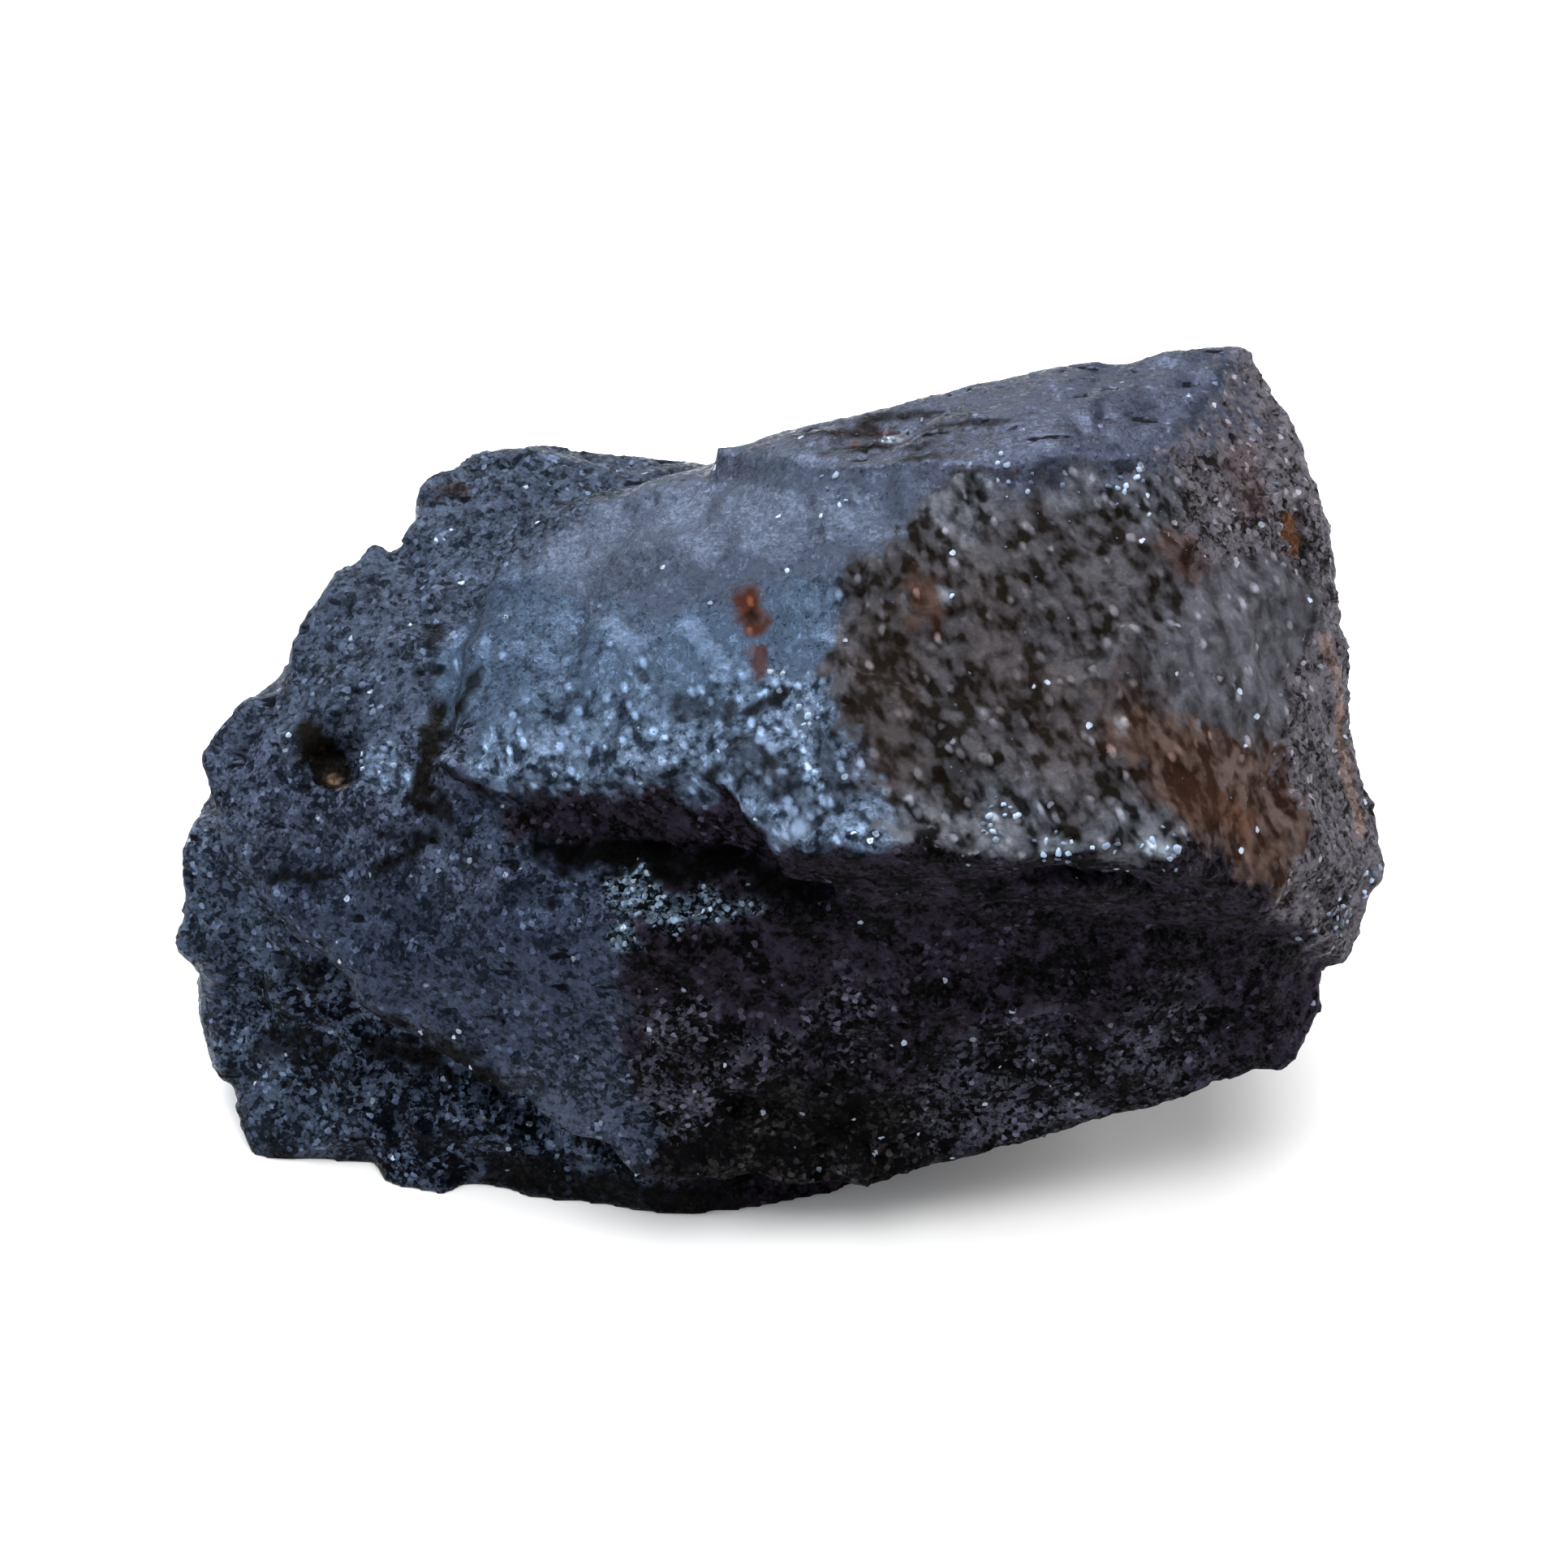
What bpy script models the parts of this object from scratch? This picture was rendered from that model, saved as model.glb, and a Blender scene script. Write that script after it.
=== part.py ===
"""A magnetite specimen: one hand-sized lump of granular iron ore, broken on all sides.

The lump is four convex bodies grown into one: a thin cap, a head with a sloping roof and an
overhanging brow, a trunk whose walls stand back under that brow, and a rough foot that it stands
on. Where the bodies meet, they leave the ledges and the shoulder. Small cutters give the hollow
under the cheek, the slot under the brow, the cracks, the pits and the chipped edges. Scattered
fracture facets and low lumps then roughen every face but the base.

Metres, +Z up. The origin is on the resting surface, under the middle of the stone's box. +X is the
stone's long way and -Y is its front.
"""

import math
import random

import bmesh
import bpy
import numpy as np
from mathutils import Matrix, Vector, noise
from mathutils.kdtree import KDTree

MM = 0.001
NAME = "magnetite_stone"
SEED = 26

# How far a crack's cutter reaches out of the surface and into its neighbour, in millimetres, and
# the share of the crack's width that is left at its two ends.
CRACK_OVERHANG = 1.5
CRACK_OVERLAP = 0.4
CRACK_END = 0.2

# Sizes of the roughening, in millimetres. TRIANGLES is the count that the surface is thinned to.
VOXEL = 0.5
FACET_SPACING = 4.6
FACET_OFFSET = 0.28
FACET_TILT = 0.2
FACET_BLEND = 0.3
LUMP_SIZE = 7.0
LUMP_HEIGHT = 0.3
GRAIN_SIZE = 3.0
GRAIN_HEIGHT = 0.22
TRIANGLES = 10500
BASE_MARGIN = 0.2

# The corners of the four bodies, in millimetres: across, back and up.
CAP = {
    "crest_left": (-4.0, 11.0, 34.0),
    "crest_hump": (4.5, 12.0, 36.0),
    "crest_mid": (17.5, 14.0, 38.0),
    "crest_right": (26.5, 15.0, 38.5),
    "roof_right": (21.5, 4.0, 40.0),
    "roof_left": (9.5, 3.0, 40.0),
    "roof_step": (3.0, 5.5, 37.5),
    "roof_notch": (-4.0, 9.0, 33.5),
    "cap_low_left": (-3.0, 10.0, 28.0),
    "cap_low_back": (10.0, 16.0, 30.0),
    "cap_low_right": (26.0, 18.0, 30.0),
    "cap_low_front": (18.0, 6.0, 28.0),
}
HEAD = {
    "roof_left": (9.5, 3.0, 39.5),
    "roof_right": (21.5, 4.0, 39.5),
    "crest_right": (26.0, 15.0, 38.0),
    "right_top": (29.0, 10.0, 36.0),
    "right_up": (30.0, 4.5, 32.5),
    "right_mid": (30.5, -3.5, 25.5),
    "tip_out": (34.0, -8.5, 19.0),
    "tip_low": (31.5, -11.0, 14.5),
    "brow_end": (29.5, -13.0, 19.0),
    "brow_right": (20.5, -17.0, 30.0),
    "brow_mid": (12.0, -17.0, 30.5),
    "nose": (4.5, -16.0, 29.5),
    "brow_left": (0.0, -15.0, 27.5),
    "brow_lip": (-10.0, -10.5, 26.0),
    "brow_corner": (-15.0, -8.0, 25.0),
    "lip_under_left": (-11.5, -8.5, 22.0),
    "lip_under_mid": (-5.5, -10.5, 23.0),
    "lip_under_right": (0.5, -13.5, 24.0),
    "nose_under": (4.0, -14.5, 25.0),
    "cheek_low": (-19.0, -5.0, 25.0),
    "cheek_left": (-17.5, 5.5, 28.0),
    "cheek_top": (-13.5, 11.5, 29.5),
    "cheek_high": (-9.5, 12.0, 30.5),
    "shelf_top": (-4.0, 11.0, 31.5),
    "ridge_top": (4.0, 1.5, 36.0),
    "ridge_low": (3.5, -5.0, 33.5),
    "under_left": (-15.0, -4.0, 21.0),
    "under_right": (24.0, -12.0, 20.0),
    "back_left": (-8.0, 16.5, 20.0),
    "back_right": (26.5, 19.0, 20.0),
}
TRUNK = {
    "shoulder_peak": (-19.0, 17.5, 28.5),
    "shoulder_mid": (-9.0, 14.5, 28.5),
    "shoulder_top": (-4.0, 13.0, 29.0),
    "shoulder_step": (-22.0, 12.5, 27.0),
    "shoulder_bend": (-24.5, 10.0, 25.5),
    "shoulder_knee": (-26.5, 6.5, 25.0),
    "shoulder_left": (-29.0, 5.5, 24.0),
    "shoulder_low": (-32.5, 1.5, 21.5),
    "shoulder_end": (-34.0, 0.0, 19.5),
    "rim_left": (-31.5, -4.5, 16.5),
    "rim_bend": (-26.0, -10.5, 14.0),
    "rim_low": (-20.5, -13.5, 9.5),
    "rim_front": (-10.0, -18.0, 6.0),
    "chin_left": (-6.5, -18.5, 5.0),
    "chin_front": (3.0, -19.0, 4.0),
    "chin_mid": (14.5, -17.5, 6.5),
    "chin_right": (28.0, -14.5, 10.0),
    "jaw_right": (30.5, -10.0, 17.0),
    "jaw_low": (30.5, -12.5, 12.5),
    "wall_right": (24.0, -12.0, 27.0),
    "wall_mid": (8.0, -13.5, 25.5),
    "wall_left": (-8.5, -14.0, 21.0),
    "temple": (-19.5, -4.0, 24.0),
    "back_peak": (-17.0, 20.0, 17.0),
    "back_wall": (16.0, 20.0, 14.0),
    "back_low_right": (27.0, 12.0, 9.0),
    "flank_right": (29.0, 3.0, 18.5),
    "flank_back": (27.5, 14.5, 19.0),
    "back_high": (10.0, 20.0, 24.0),
}
FOOT = {
    "toe_left": (-30.5, -13.0, -1.0),
    "toe_mid": (-24.5, -14.0, -1.0),
    "toe_front": (-15.5, -16.5, -1.0),
    "toe_right": (-4.5, -18.0, -1.0),
    "sole_front": (7.0, -14.0, -1.0),
    "sole_right": (17.5, -8.5, -1.0),
    "heel_right": (24.5, 0.0, -1.0),
    "heel_back": (21.0, 17.5, -1.0),
    "sole_back": (-6.0, 20.5, -1.0),
    "heel_left": (-24.0, 16.0, -1.0),
    "ankle_left": (-32.5, 0.0, -1.0),
    "side_low": (-34.5, -7.5, 6.0),
    "side_mid": (-35.0, -6.0, 12.0),
    "side_top": (-34.5, -3.0, 17.0),
    "instep": (-24.0, -8.5, 13.0),
    "tongue": (-6.0, -15.0, 6.0),
    "side_back": (-31.5, 9.0, 14.0),
    "back_high": (-14.0, 19.5, 16.0),
    "back_right": (24.0, 14.0, 12.0),
}

# Hollows broken out of the bodies: the corners of what is gone.
HOLLOWS = {
    "under_cheek_hollow": [
        (-16.5, -7.0, 25.0),
        (-13.5, -7.5, 26.5),
        (-10.5, -8.0, 27.5),
        (-6.5, -9.0, 28.5),
        (-3.5, -10.0, 28.5),
        (-2.0, -11.5, 28.0),
        (-13.5, -8.5, 21.5),
        (-8.0, -9.5, 21.5),
        (-3.5, -10.5, 22.0),
        (1.0, -13.0, 22.5),
        (-15.0, -12.0, 26.0),
        (-6.5, -16.0, 29.0),
        (-2.0, -18.0, 28.5),
        (-13.5, -14.0, 21.5),
        (-8.5, -18.0, 21.0),
        (1.0, -19.0, 22.5),
    ],
}

# Slots and cracks: the path along the surface, the way in, the width of the mouth and the depth.
CRACKS = {
    "under_cheek": (
        [
            (-14.0, -9.0, 22.0),
            (-9.0, -10.0, 22.5),
            (-4.0, -11.0, 23.0),
            (0.5, -13.0, 23.5),
            (4.5, -14.5, 24.0),
        ],
        (0.2, 0.95, -0.1), 1.4, 5.5,
    ),
    "beside_cheek": (
        [(-19.0, 3.5, 26.5), (-20.0, -0.5, 25.0), (-19.5, -5.0, 23.5)],
        (0.6, 0.5, -0.6), 1.1, 2.5,
    ),
    "shoulder_seam": (
        [(-28.5, -7.0, 18.0), (-25.0, -7.5, 18.0), (-21.0, -7.0, 20.5)],
        (0.3, 0.8, -0.5), 0.8, 1.6,
    ),
    "brow_slot": (
        [(6.0, -15.0, 25.5), (15.0, -15.5, 27.0), (24.0, -14.0, 25.0)],
        (0.0, 1.0, 0.25), 1.4, 2.0,
    ),
    "roof_seam": (
        [(-1.5, 9.5, 35.5), (4.5, 9.5, 37.0), (9.0, 10.5, 38.0)],
        (0.0, 0.1, -1.0), 0.6, 0.8,
    ),
    "back_seam": (
        [(-16.0, 20.5, 19.0), (-4.0, 20.5, 21.0), (10.0, 20.5, 20.0), (22.0, 19.5, 22.0)],
        (0.0, -1.0, 0.1), 1.6, 3.0,
    ),
}

# Pits: the centre, the three half sizes and the turn about the upright, in degrees.
PITS = {
    "shoulder_pit": ((-25.5, -2.0, 22.0), (1.9, 1.6, 1.7), 20),
    "roof_pit": ((6.5, 8.5, 38.5), (2.0, 1.8, 1.4), 10),
    "roof_pit_small": ((9.5, 9.0, 39.5), (1.2, 0.9, 1.0), 40),
    "front_pit": ((12.0, -7.5, 36.0), (1.6, 1.2, 1.6), 30),
    "front_scoop": ((20.0, -11.5, 34.5), (3.5, 2.0, 2.2), -25),
    "foot_pit_left": ((-31.5, -8.5, 8.5), (2.6, 1.6, 2.4), 25),
    "foot_pit_mid": ((-21.0, -14.0, 6.5), (3.0, 1.8, 1.6), 15),
    "chin_pit_left": ((-3.0, -19.0, 9.0), (2.4, 1.2, 1.6), 10),
    "chin_pit_mid": ((4.0, -19.0, 8.5), (2.8, 1.3, 1.8), -5),
    "chin_pit_right": ((16.0, -18.0, 12.5), (3.2, 1.2, 1.5), -8),
    "right_scoop": ((33.5, -2.0, 21.5), (2.2, 4.0, 3.0), 15),
    "back_pit": ((3.0, 21.5, 12.0), (4.0, 1.8, 3.0), 5),
    "back_pit_left": ((-26.0, 17.0, 10.0), (3.0, 2.0, 2.4), 40),
}

# Chips off the edges: a point of the broken face, and the way that the face looks.
CHIPS = {
    "shoulder_nick_high": ((-21.5, 12.5, 26.5), (-0.9, 0.35, 0.2), 1.5),
    "shoulder_nick_low": ((-29.0, 4.5, 23.0), (-0.95, 0.2, 0.25), 1.5),
    "ridge_round": ((4.0, -10.0, 32.0), (-0.12, -0.45, 0.88), 14.0),
    "roof_edge": ((21.0, -6.5, 34.0), (0.33, -0.43, 0.84), 14.0),
    "crest_chip": ((28.0, 13.0, 37.5), (0.7, 0.25, 0.65), 14.0),
    "crest_corner": ((27.0, 16.0, 37.5), (0.5, 0.75, 0.5), 9.0),
    "back_chip_left": ((-23.0, 18.5, 14.0), (-0.6, 0.8, 0.0), 8.0),
    "back_chip_mid": ((8.0, 19.5, 22.0), (0.15, 0.95, 0.1), 14.0),
    "back_chip_right": ((27.5, 16.0, 12.0), (0.7, 0.7, 0.1), 12.0),
}

# How strongly the surface is roughened: the centre and reach of a patch, and its share of the full height.
PATCHES = [
    ((8.0, 10.0, 38.0), 13.0, 0.35),
    ((23.0, 9.0, 39.0), 8.0, 0.35),
    ((-9.0, 4.0, 31.0), 10.0, 0.35),
    ((-10.0, -4.0, 29.0), 7.0, 0.45),
    ((-22.0, -9.0, 16.5), 8.0, 0.4),
    ((-13.0, -14.5, 13.0), 8.0, 0.4),
    ((-28.0, -3.0, 19.0), 6.0, 0.5),
    ((-25.0, 7.0, 25.0), 7.0, 1.2),
    ((-27.0, -11.0, 6.0), 10.0, 1.3),
    ((-12.0, -15.0, 3.0), 8.0, 1.2),
    ((14.0, -8.0, 34.5), 10.0, 0.65),
    ((14.0, -14.5, 18.0), 12.0, 0.5),
    ((2.0, -18.0, 8.0), 8.0, 1.1),
]


def clear_scene() -> None:
    """Remove every object, so that the file holds the stone alone."""
    for old in list(bpy.data.objects):
        bpy.data.objects.remove(old)


def new_object(name: str, shape: bmesh.types.BMesh) -> bpy.types.Object:
    """Put a finished shape into the scene as an object of its own."""
    bmesh.ops.recalc_face_normals(shape, faces=shape.faces)
    mesh = bpy.data.meshes.new(name)
    shape.to_mesh(mesh)
    shape.free()
    made = bpy.data.objects.new(name, mesh)
    bpy.context.scene.collection.objects.link(made)
    return made


def hull(name: str, corners: list) -> bpy.types.Object:
    """A convex body over corners given in millimetres."""
    shape = bmesh.new()
    for corner in corners:
        shape.verts.new(Vector(corner) * MM)
    made = bmesh.ops.convex_hull(shape, input=shape.verts)
    spare = {v for v in made["geom_interior"] + made["geom_unused"] if isinstance(v, bmesh.types.BMVert)}
    bmesh.ops.delete(shape, geom=list(spare), context="VERTS")
    return new_object(name, shape)


def wedge(name: str, ends: tuple, inward: Vector, mouths: tuple, depth: float) -> bpy.types.Object:
    """A tapering cutter between two points of a crack, open towards the outside."""
    along = (ends[1] - ends[0]).normalized()
    across = along.cross(inward).normalized()
    corners = []
    for end, mouth in zip(ends, mouths):
        outer = end - inward * CRACK_OVERHANG
        corners += [outer + across * mouth * 0.7, outer - across * mouth * 0.7]
        corners += [end + across * mouth * 0.5, end - across * mouth * 0.5]
        corners.append(end + inward * depth)
    return hull(name, corners)


def crack_cutters(rng: random.Random) -> list:
    """The cutters for every slot and crack, one between each two points of its path."""
    cutters = []
    for name, (path, inward, mouth, depth) in CRACKS.items():
        way_in = Vector(inward).normalized()
        points = [Vector(point) for point in path]
        mouths = [mouth * CRACK_END] + [mouth] * (len(points) - 2) + [mouth * CRACK_END]
        for step, (start, end) in enumerate(zip(points, points[1:])):
            overlap = (end - start).normalized() * CRACK_OVERLAP
            ends = (start - overlap, end + overlap)
            deep = depth * rng.uniform(0.8, 1.15)
            cutters.append(wedge(f"{name}_{step}", ends, way_in, tuple(mouths[step:step + 2]), deep))
    return cutters


def hollow_cutters() -> list:
    """A convex body for each hollow."""
    return [hull(name, corners) for name, corners in HOLLOWS.items()]


def pit_cutters(rng: random.Random) -> list:
    """Knobbly balls, each set at the surface so that it leaves a pit."""
    cutters = []
    for name, (centre, half, turn) in PITS.items():
        shape = bmesh.new()
        bmesh.ops.create_icosphere(shape, subdivisions=2, radius=1.0)
        spin = Matrix.Rotation(math.radians(turn), 3, "Z")
        for vertex in shape.verts:
            knob = rng.uniform(0.8, 1.15)
            stretched = Vector(c * h for c, h in zip(vertex.co, half)) * knob
            vertex.co = (Vector(centre) + spin @ stretched) * MM
        cutters.append(new_object(name, shape))
    return cutters


def chip_cutters() -> list:
    """Blocks that each take one flat chip off an edge."""
    cutters = []
    for name, (point, looks, reach) in CHIPS.items():
        shape = bmesh.new()
        bmesh.ops.create_cube(shape, size=reach * 2.0)
        turn = Vector((0.0, 0.0, 1.0)).rotation_difference(Vector(looks)).to_matrix()
        for vertex in shape.verts:
            vertex.co = (Vector(point) + turn @ (vertex.co + Vector((0.0, 0.0, reach)))) * MM
        cutters.append(new_object(name, shape))
    return cutters


def apply_modifier(body: bpy.types.Object, modifier: bpy.types.Modifier) -> None:
    """Make one modifier part of the mesh."""
    bpy.ops.object.select_all(action="DESELECT")
    body.select_set(True)
    bpy.context.view_layer.objects.active = body
    bpy.ops.object.modifier_apply(modifier=modifier.name)


def combine(body: bpy.types.Object, other: bpy.types.Object, operation: str) -> None:
    """Add the other body, or cut it away, and remove it."""
    modifier = body.modifiers.new(other.name, "BOOLEAN")
    modifier.operation = operation
    modifier.solver = "EXACT"
    modifier.object = other
    apply_modifier(body, modifier)
    bpy.data.objects.remove(other)


def resample(body: bpy.types.Object) -> None:
    """Give the whole surface even, small faces."""
    modifier = body.modifiers.new("even", "REMESH")
    modifier.mode = "VOXEL"
    modifier.voxel_size = VOXEL * MM
    apply_modifier(body, modifier)


def facet_field(rng: random.Random) -> tuple:
    """Scattered centres, each with the offset and the tilt of the fracture facet round it."""
    low, high = Vector((-40.0, -24.0, -4.0)), Vector((40.0, 26.0, 46.0))
    steps = [int((b - a) / FACET_SPACING) + 1 for a, b in zip(low, high)]
    centres = []
    for cell in np.ndindex(*steps):
        jitter = Vector(rng.uniform(-0.45, 0.45) for _ in range(3))
        centres.append(low + (Vector(cell) + jitter) * FACET_SPACING)
    offsets = [rng.uniform(-FACET_OFFSET, FACET_OFFSET) for _ in centres]
    tilts = [Vector(rng.uniform(-FACET_TILT, FACET_TILT) for _ in range(3)) for _ in centres]
    tree = KDTree(len(centres))
    for index, centre in enumerate(centres):
        tree.insert(centre, index)
    tree.balance()
    return tree, centres, offsets, tilts


def facet_height(point: Vector, field: tuple) -> float:
    """How far the fracture facets lift or sink the surface at a point."""
    tree, centres, offsets, tilts = field
    near = tree.find_n(point, 3)
    closest = near[0][2]
    total = weights = 0.0
    for _, index, far in near:
        weight = math.exp((closest - far) / FACET_BLEND)
        total += weight * (offsets[index] + tilts[index].dot(point - centres[index]))
        weights += weight
    return total / weights


def patch_share(point: Vector) -> float:
    """The share of the full roughness that holds at a point."""
    share, weights = 0.95 * 0.15, 0.15
    for centre, reach, strength in PATCHES:
        weight = math.exp(-2.0 * (point - Vector(centre)).length_squared / reach**2)
        share += strength * weight
        weights += weight
    return share / weights


def roughen(body: bpy.types.Object, rng: random.Random) -> None:
    """Move each vertex along its normal by facets, low lumps and coarse grains."""
    field = facet_field(rng)
    moved = []
    for vertex in body.data.vertices:
        point = vertex.co / MM
        lump = noise.fractal(point / LUMP_SIZE, 0.8, 2.1, 2) * LUMP_HEIGHT
        grain = noise.noise(point / GRAIN_SIZE + Vector((31.0, 7.0, 3.0))) * GRAIN_HEIGHT
        height = (facet_height(point, field) + lump + grain) * patch_share(point)
        moved.append((point + vertex.normal * height) * MM)
    for vertex, place in zip(body.data.vertices, moved):
        vertex.co = place
    body.data.update()


def thin_out(body: bpy.types.Object) -> None:
    """Keep the wanted number of triangles, most of them where the surface turns."""
    count = sum(len(face.vertices) - 2 for face in body.data.polygons)
    modifier = body.modifiers.new("fewer", "DECIMATE")
    modifier.ratio = TRIANGLES / count
    modifier.use_collapse_triangulate = True
    apply_modifier(body, modifier)


def cut_base(body: bpy.types.Object) -> None:
    """Cut the stone off flat at the resting surface."""
    shape = bmesh.new()
    shape.from_mesh(body.data)
    for vertex in shape.verts:
        if abs(vertex.co.z) < BASE_MARGIN * MM:
            vertex.co.z = -BASE_MARGIN * MM
    everything = shape.verts[:] + shape.edges[:] + shape.faces[:]
    up = (0.0, 0.0, 1.0)
    cut = bmesh.ops.bisect_plane(shape, geom=everything, dist=1e-7, plane_no=up, clear_inner=True)
    for item in cut["geom_cut"]:
        if isinstance(item, bmesh.types.BMVert):
            item.co.z = 0.0
    rim = [edge for edge in shape.edges if edge.is_boundary]
    bmesh.ops.holes_fill(shape, edges=rim)
    bmesh.ops.triangulate(shape, faces=shape.faces[:])
    bmesh.ops.recalc_face_normals(shape, faces=shape.faces)
    shape.to_mesh(body.data)
    shape.free()


def largest_piece(body: bpy.types.Object) -> None:
    """Remove any loose crumb, so that one closed body is left."""
    shape = bmesh.new()
    shape.from_mesh(body.data)
    left = set(shape.verts)
    pieces = []
    while left:
        piece, front = set(), [left.pop()]
        while front:
            vertex = front.pop()
            piece.add(vertex)
            for edge in vertex.link_edges:
                other = edge.other_vert(vertex)
                if other in left:
                    left.remove(other)
                    front.append(other)
        pieces.append(piece)
    pieces.sort(key=len)
    for crumb in pieces[:-1]:
        bmesh.ops.delete(shape, geom=list(crumb), context="VERTS")
    shape.to_mesh(body.data)
    shape.free()


def centre(body: bpy.types.Object) -> Vector:
    """Bring the middle of the stone's box over the origin, and return the move."""
    corners = [Vector(corner) for corner in body.bound_box]
    low = Vector(min(c[axis] for c in corners) for axis in range(3))
    high = Vector(max(c[axis] for c in corners) for axis in range(3))
    move = Vector((-(low.x + high.x) / 2.0, -(low.y + high.y) / 2.0, 0.0))
    body.data.transform(Matrix.Translation(move))
    body.data.update()
    return move


def magnetite() -> bpy.types.Material:
    """Dark steel-grey granular magnetite, half metallic in its shine."""
    material = bpy.data.materials.new("magnetite")
    material.use_nodes = True
    shader = material.node_tree.nodes["Principled BSDF"]
    shader.inputs["Base Color"].default_value = (0.055, 0.056, 0.062, 1.0)
    shader.inputs["Roughness"].default_value = 0.5
    shader.inputs["Metallic"].default_value = 0.35
    return material


def build() -> tuple:
    """The finished stone, and the move that centred it."""
    rng = random.Random(SEED)
    stone = hull(NAME, list(TRUNK.values()))
    for name, corners in (("foot", FOOT), ("head", HEAD), ("cap", CAP)):
        combine(stone, hull(name, list(corners.values())), "UNION")
    for cutter in chip_cutters() + hollow_cutters() + crack_cutters(rng) + pit_cutters(rng):
        combine(stone, cutter, "DIFFERENCE")
    resample(stone)
    roughen(stone, rng)
    largest_piece(stone)
    thin_out(stone)
    cut_base(stone)
    move = centre(stone)
    stone.data.materials.append(magnetite())
    return stone, move


def main() -> None:
    """Build the stone in an empty scene."""
    clear_scene()
    build()


if __name__ == "__main__":
    main()
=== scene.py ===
"""The dressed magnetite specimen: one broken lump of granular iron ore on a plain pale floor.

The stone's surface is worked up from a copy of its solid. The copy is remeshed finely, coated zone
by zone, roughened by fracture facets, lumps, grains and pits, and thinned out. Crystal grains and
pale mineral grains are then set into it as pieces of their own.

Every size in a class is in millimetres, in the frame of the solid. The scene itself is in metres.
"""

import logging
import math
from abc import ABC, abstractmethod
from dataclasses import dataclass
from enum import Enum
from typing import Any, Optional, Union

import bpy
import numpy as np
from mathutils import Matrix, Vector, noise


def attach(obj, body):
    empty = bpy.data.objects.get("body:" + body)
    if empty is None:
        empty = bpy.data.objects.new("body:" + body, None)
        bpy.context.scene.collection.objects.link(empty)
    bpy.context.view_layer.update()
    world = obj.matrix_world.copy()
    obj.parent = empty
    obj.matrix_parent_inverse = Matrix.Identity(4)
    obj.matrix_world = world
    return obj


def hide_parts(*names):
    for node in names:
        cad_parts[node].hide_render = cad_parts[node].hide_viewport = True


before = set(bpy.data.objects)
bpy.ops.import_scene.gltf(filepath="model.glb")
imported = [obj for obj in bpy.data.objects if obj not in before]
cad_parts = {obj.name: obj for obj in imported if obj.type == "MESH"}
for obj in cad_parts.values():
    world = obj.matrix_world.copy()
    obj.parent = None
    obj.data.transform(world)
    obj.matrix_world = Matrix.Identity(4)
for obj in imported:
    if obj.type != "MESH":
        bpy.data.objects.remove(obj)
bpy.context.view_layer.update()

MM = 0.001
MM_PER_METRE = 1000.0
SOLID = "magnetite_stone"
BODY = "root"

Triple = tuple[float, float, float]
Value = Union["Socket", float, Triple]

log = logging.getLogger("magnetite")


class Socket:
    """The output of a node, which can be used in an expression."""

    def __init__(self, nodes: "Nodes", source: bpy.types.NodeSocket) -> None:
        """Hold one output of a node in that tree."""
        self.nodes = nodes
        self.source = source

    def __add__(self, other: Value) -> "Socket":
        """Give the sum of the two."""
        return self.nodes.combine("ADD", self, other)

    def __sub__(self, other: Value) -> "Socket":
        """Give this less the other."""
        return self.nodes.combine("SUBTRACT", self, other)

    def __rsub__(self, other: Value) -> "Socket":
        """Give the other less this."""
        return self.nodes.combine("SUBTRACT", other, self)

    def __mul__(self, other: Value) -> "Socket":
        """Give the product of the two."""
        return self.nodes.combine("MULTIPLY", self, other)

    def __truediv__(self, other: Value) -> "Socket":
        """Give this divided by the other."""
        return self.nodes.combine("DIVIDE", self, other)

    __radd__ = __add__
    __rmul__ = __mul__

    @property
    def is_vector(self) -> bool:
        """Tell whether the output holds three numbers."""
        return self.source.type in {"VECTOR", "RGBA"}

    def output(self, name: str) -> "Socket":
        """Give another output of the same node."""
        return Socket(self.nodes, self.source.node.outputs[name])

    def dot(self, other: Value) -> "Socket":
        """Give the dot product with another vector."""
        return self.nodes.vector("DOT_PRODUCT", self, other)

    def unit(self) -> "Socket":
        """Give the vector at a length of one."""
        return self.nodes.vector("NORMALIZE", self)

    def ramp(self, middle: Value, width: Value) -> "Socket":
        """Rise evenly from 0 to 1 across a width round a middle."""
        share = (self - middle) / width + 0.5
        return self.nodes.add("ShaderNodeClamp", {}, {0: share})

    def part(self, index: int) -> "Socket":
        """Give one of the three numbers of a vector."""
        split = self.nodes.add("ShaderNodeSeparateXYZ", {}, {0: self})
        return split.output("XYZ"[index])

    def step(self, low: float, high: float) -> "Socket":
        """Rise smoothly from 0 to 1 between two values, or fall where low is the larger.

        Args:
            low: The value at which the result is 0.
            high: The value at which the result is 1.

        Returns:
            The eased share.
        """
        limits = {"From Min": low, "From Max": high}
        if low > high:
            limits = {"From Min": high, "From Max": low, "To Min": 1.0, "To Max": 0.0}
        settings = {"interpolation_type": "SMOOTHSTEP"}
        return self.nodes.add("ShaderNodeMapRange", settings, {"Value": self, **limits})


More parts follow.
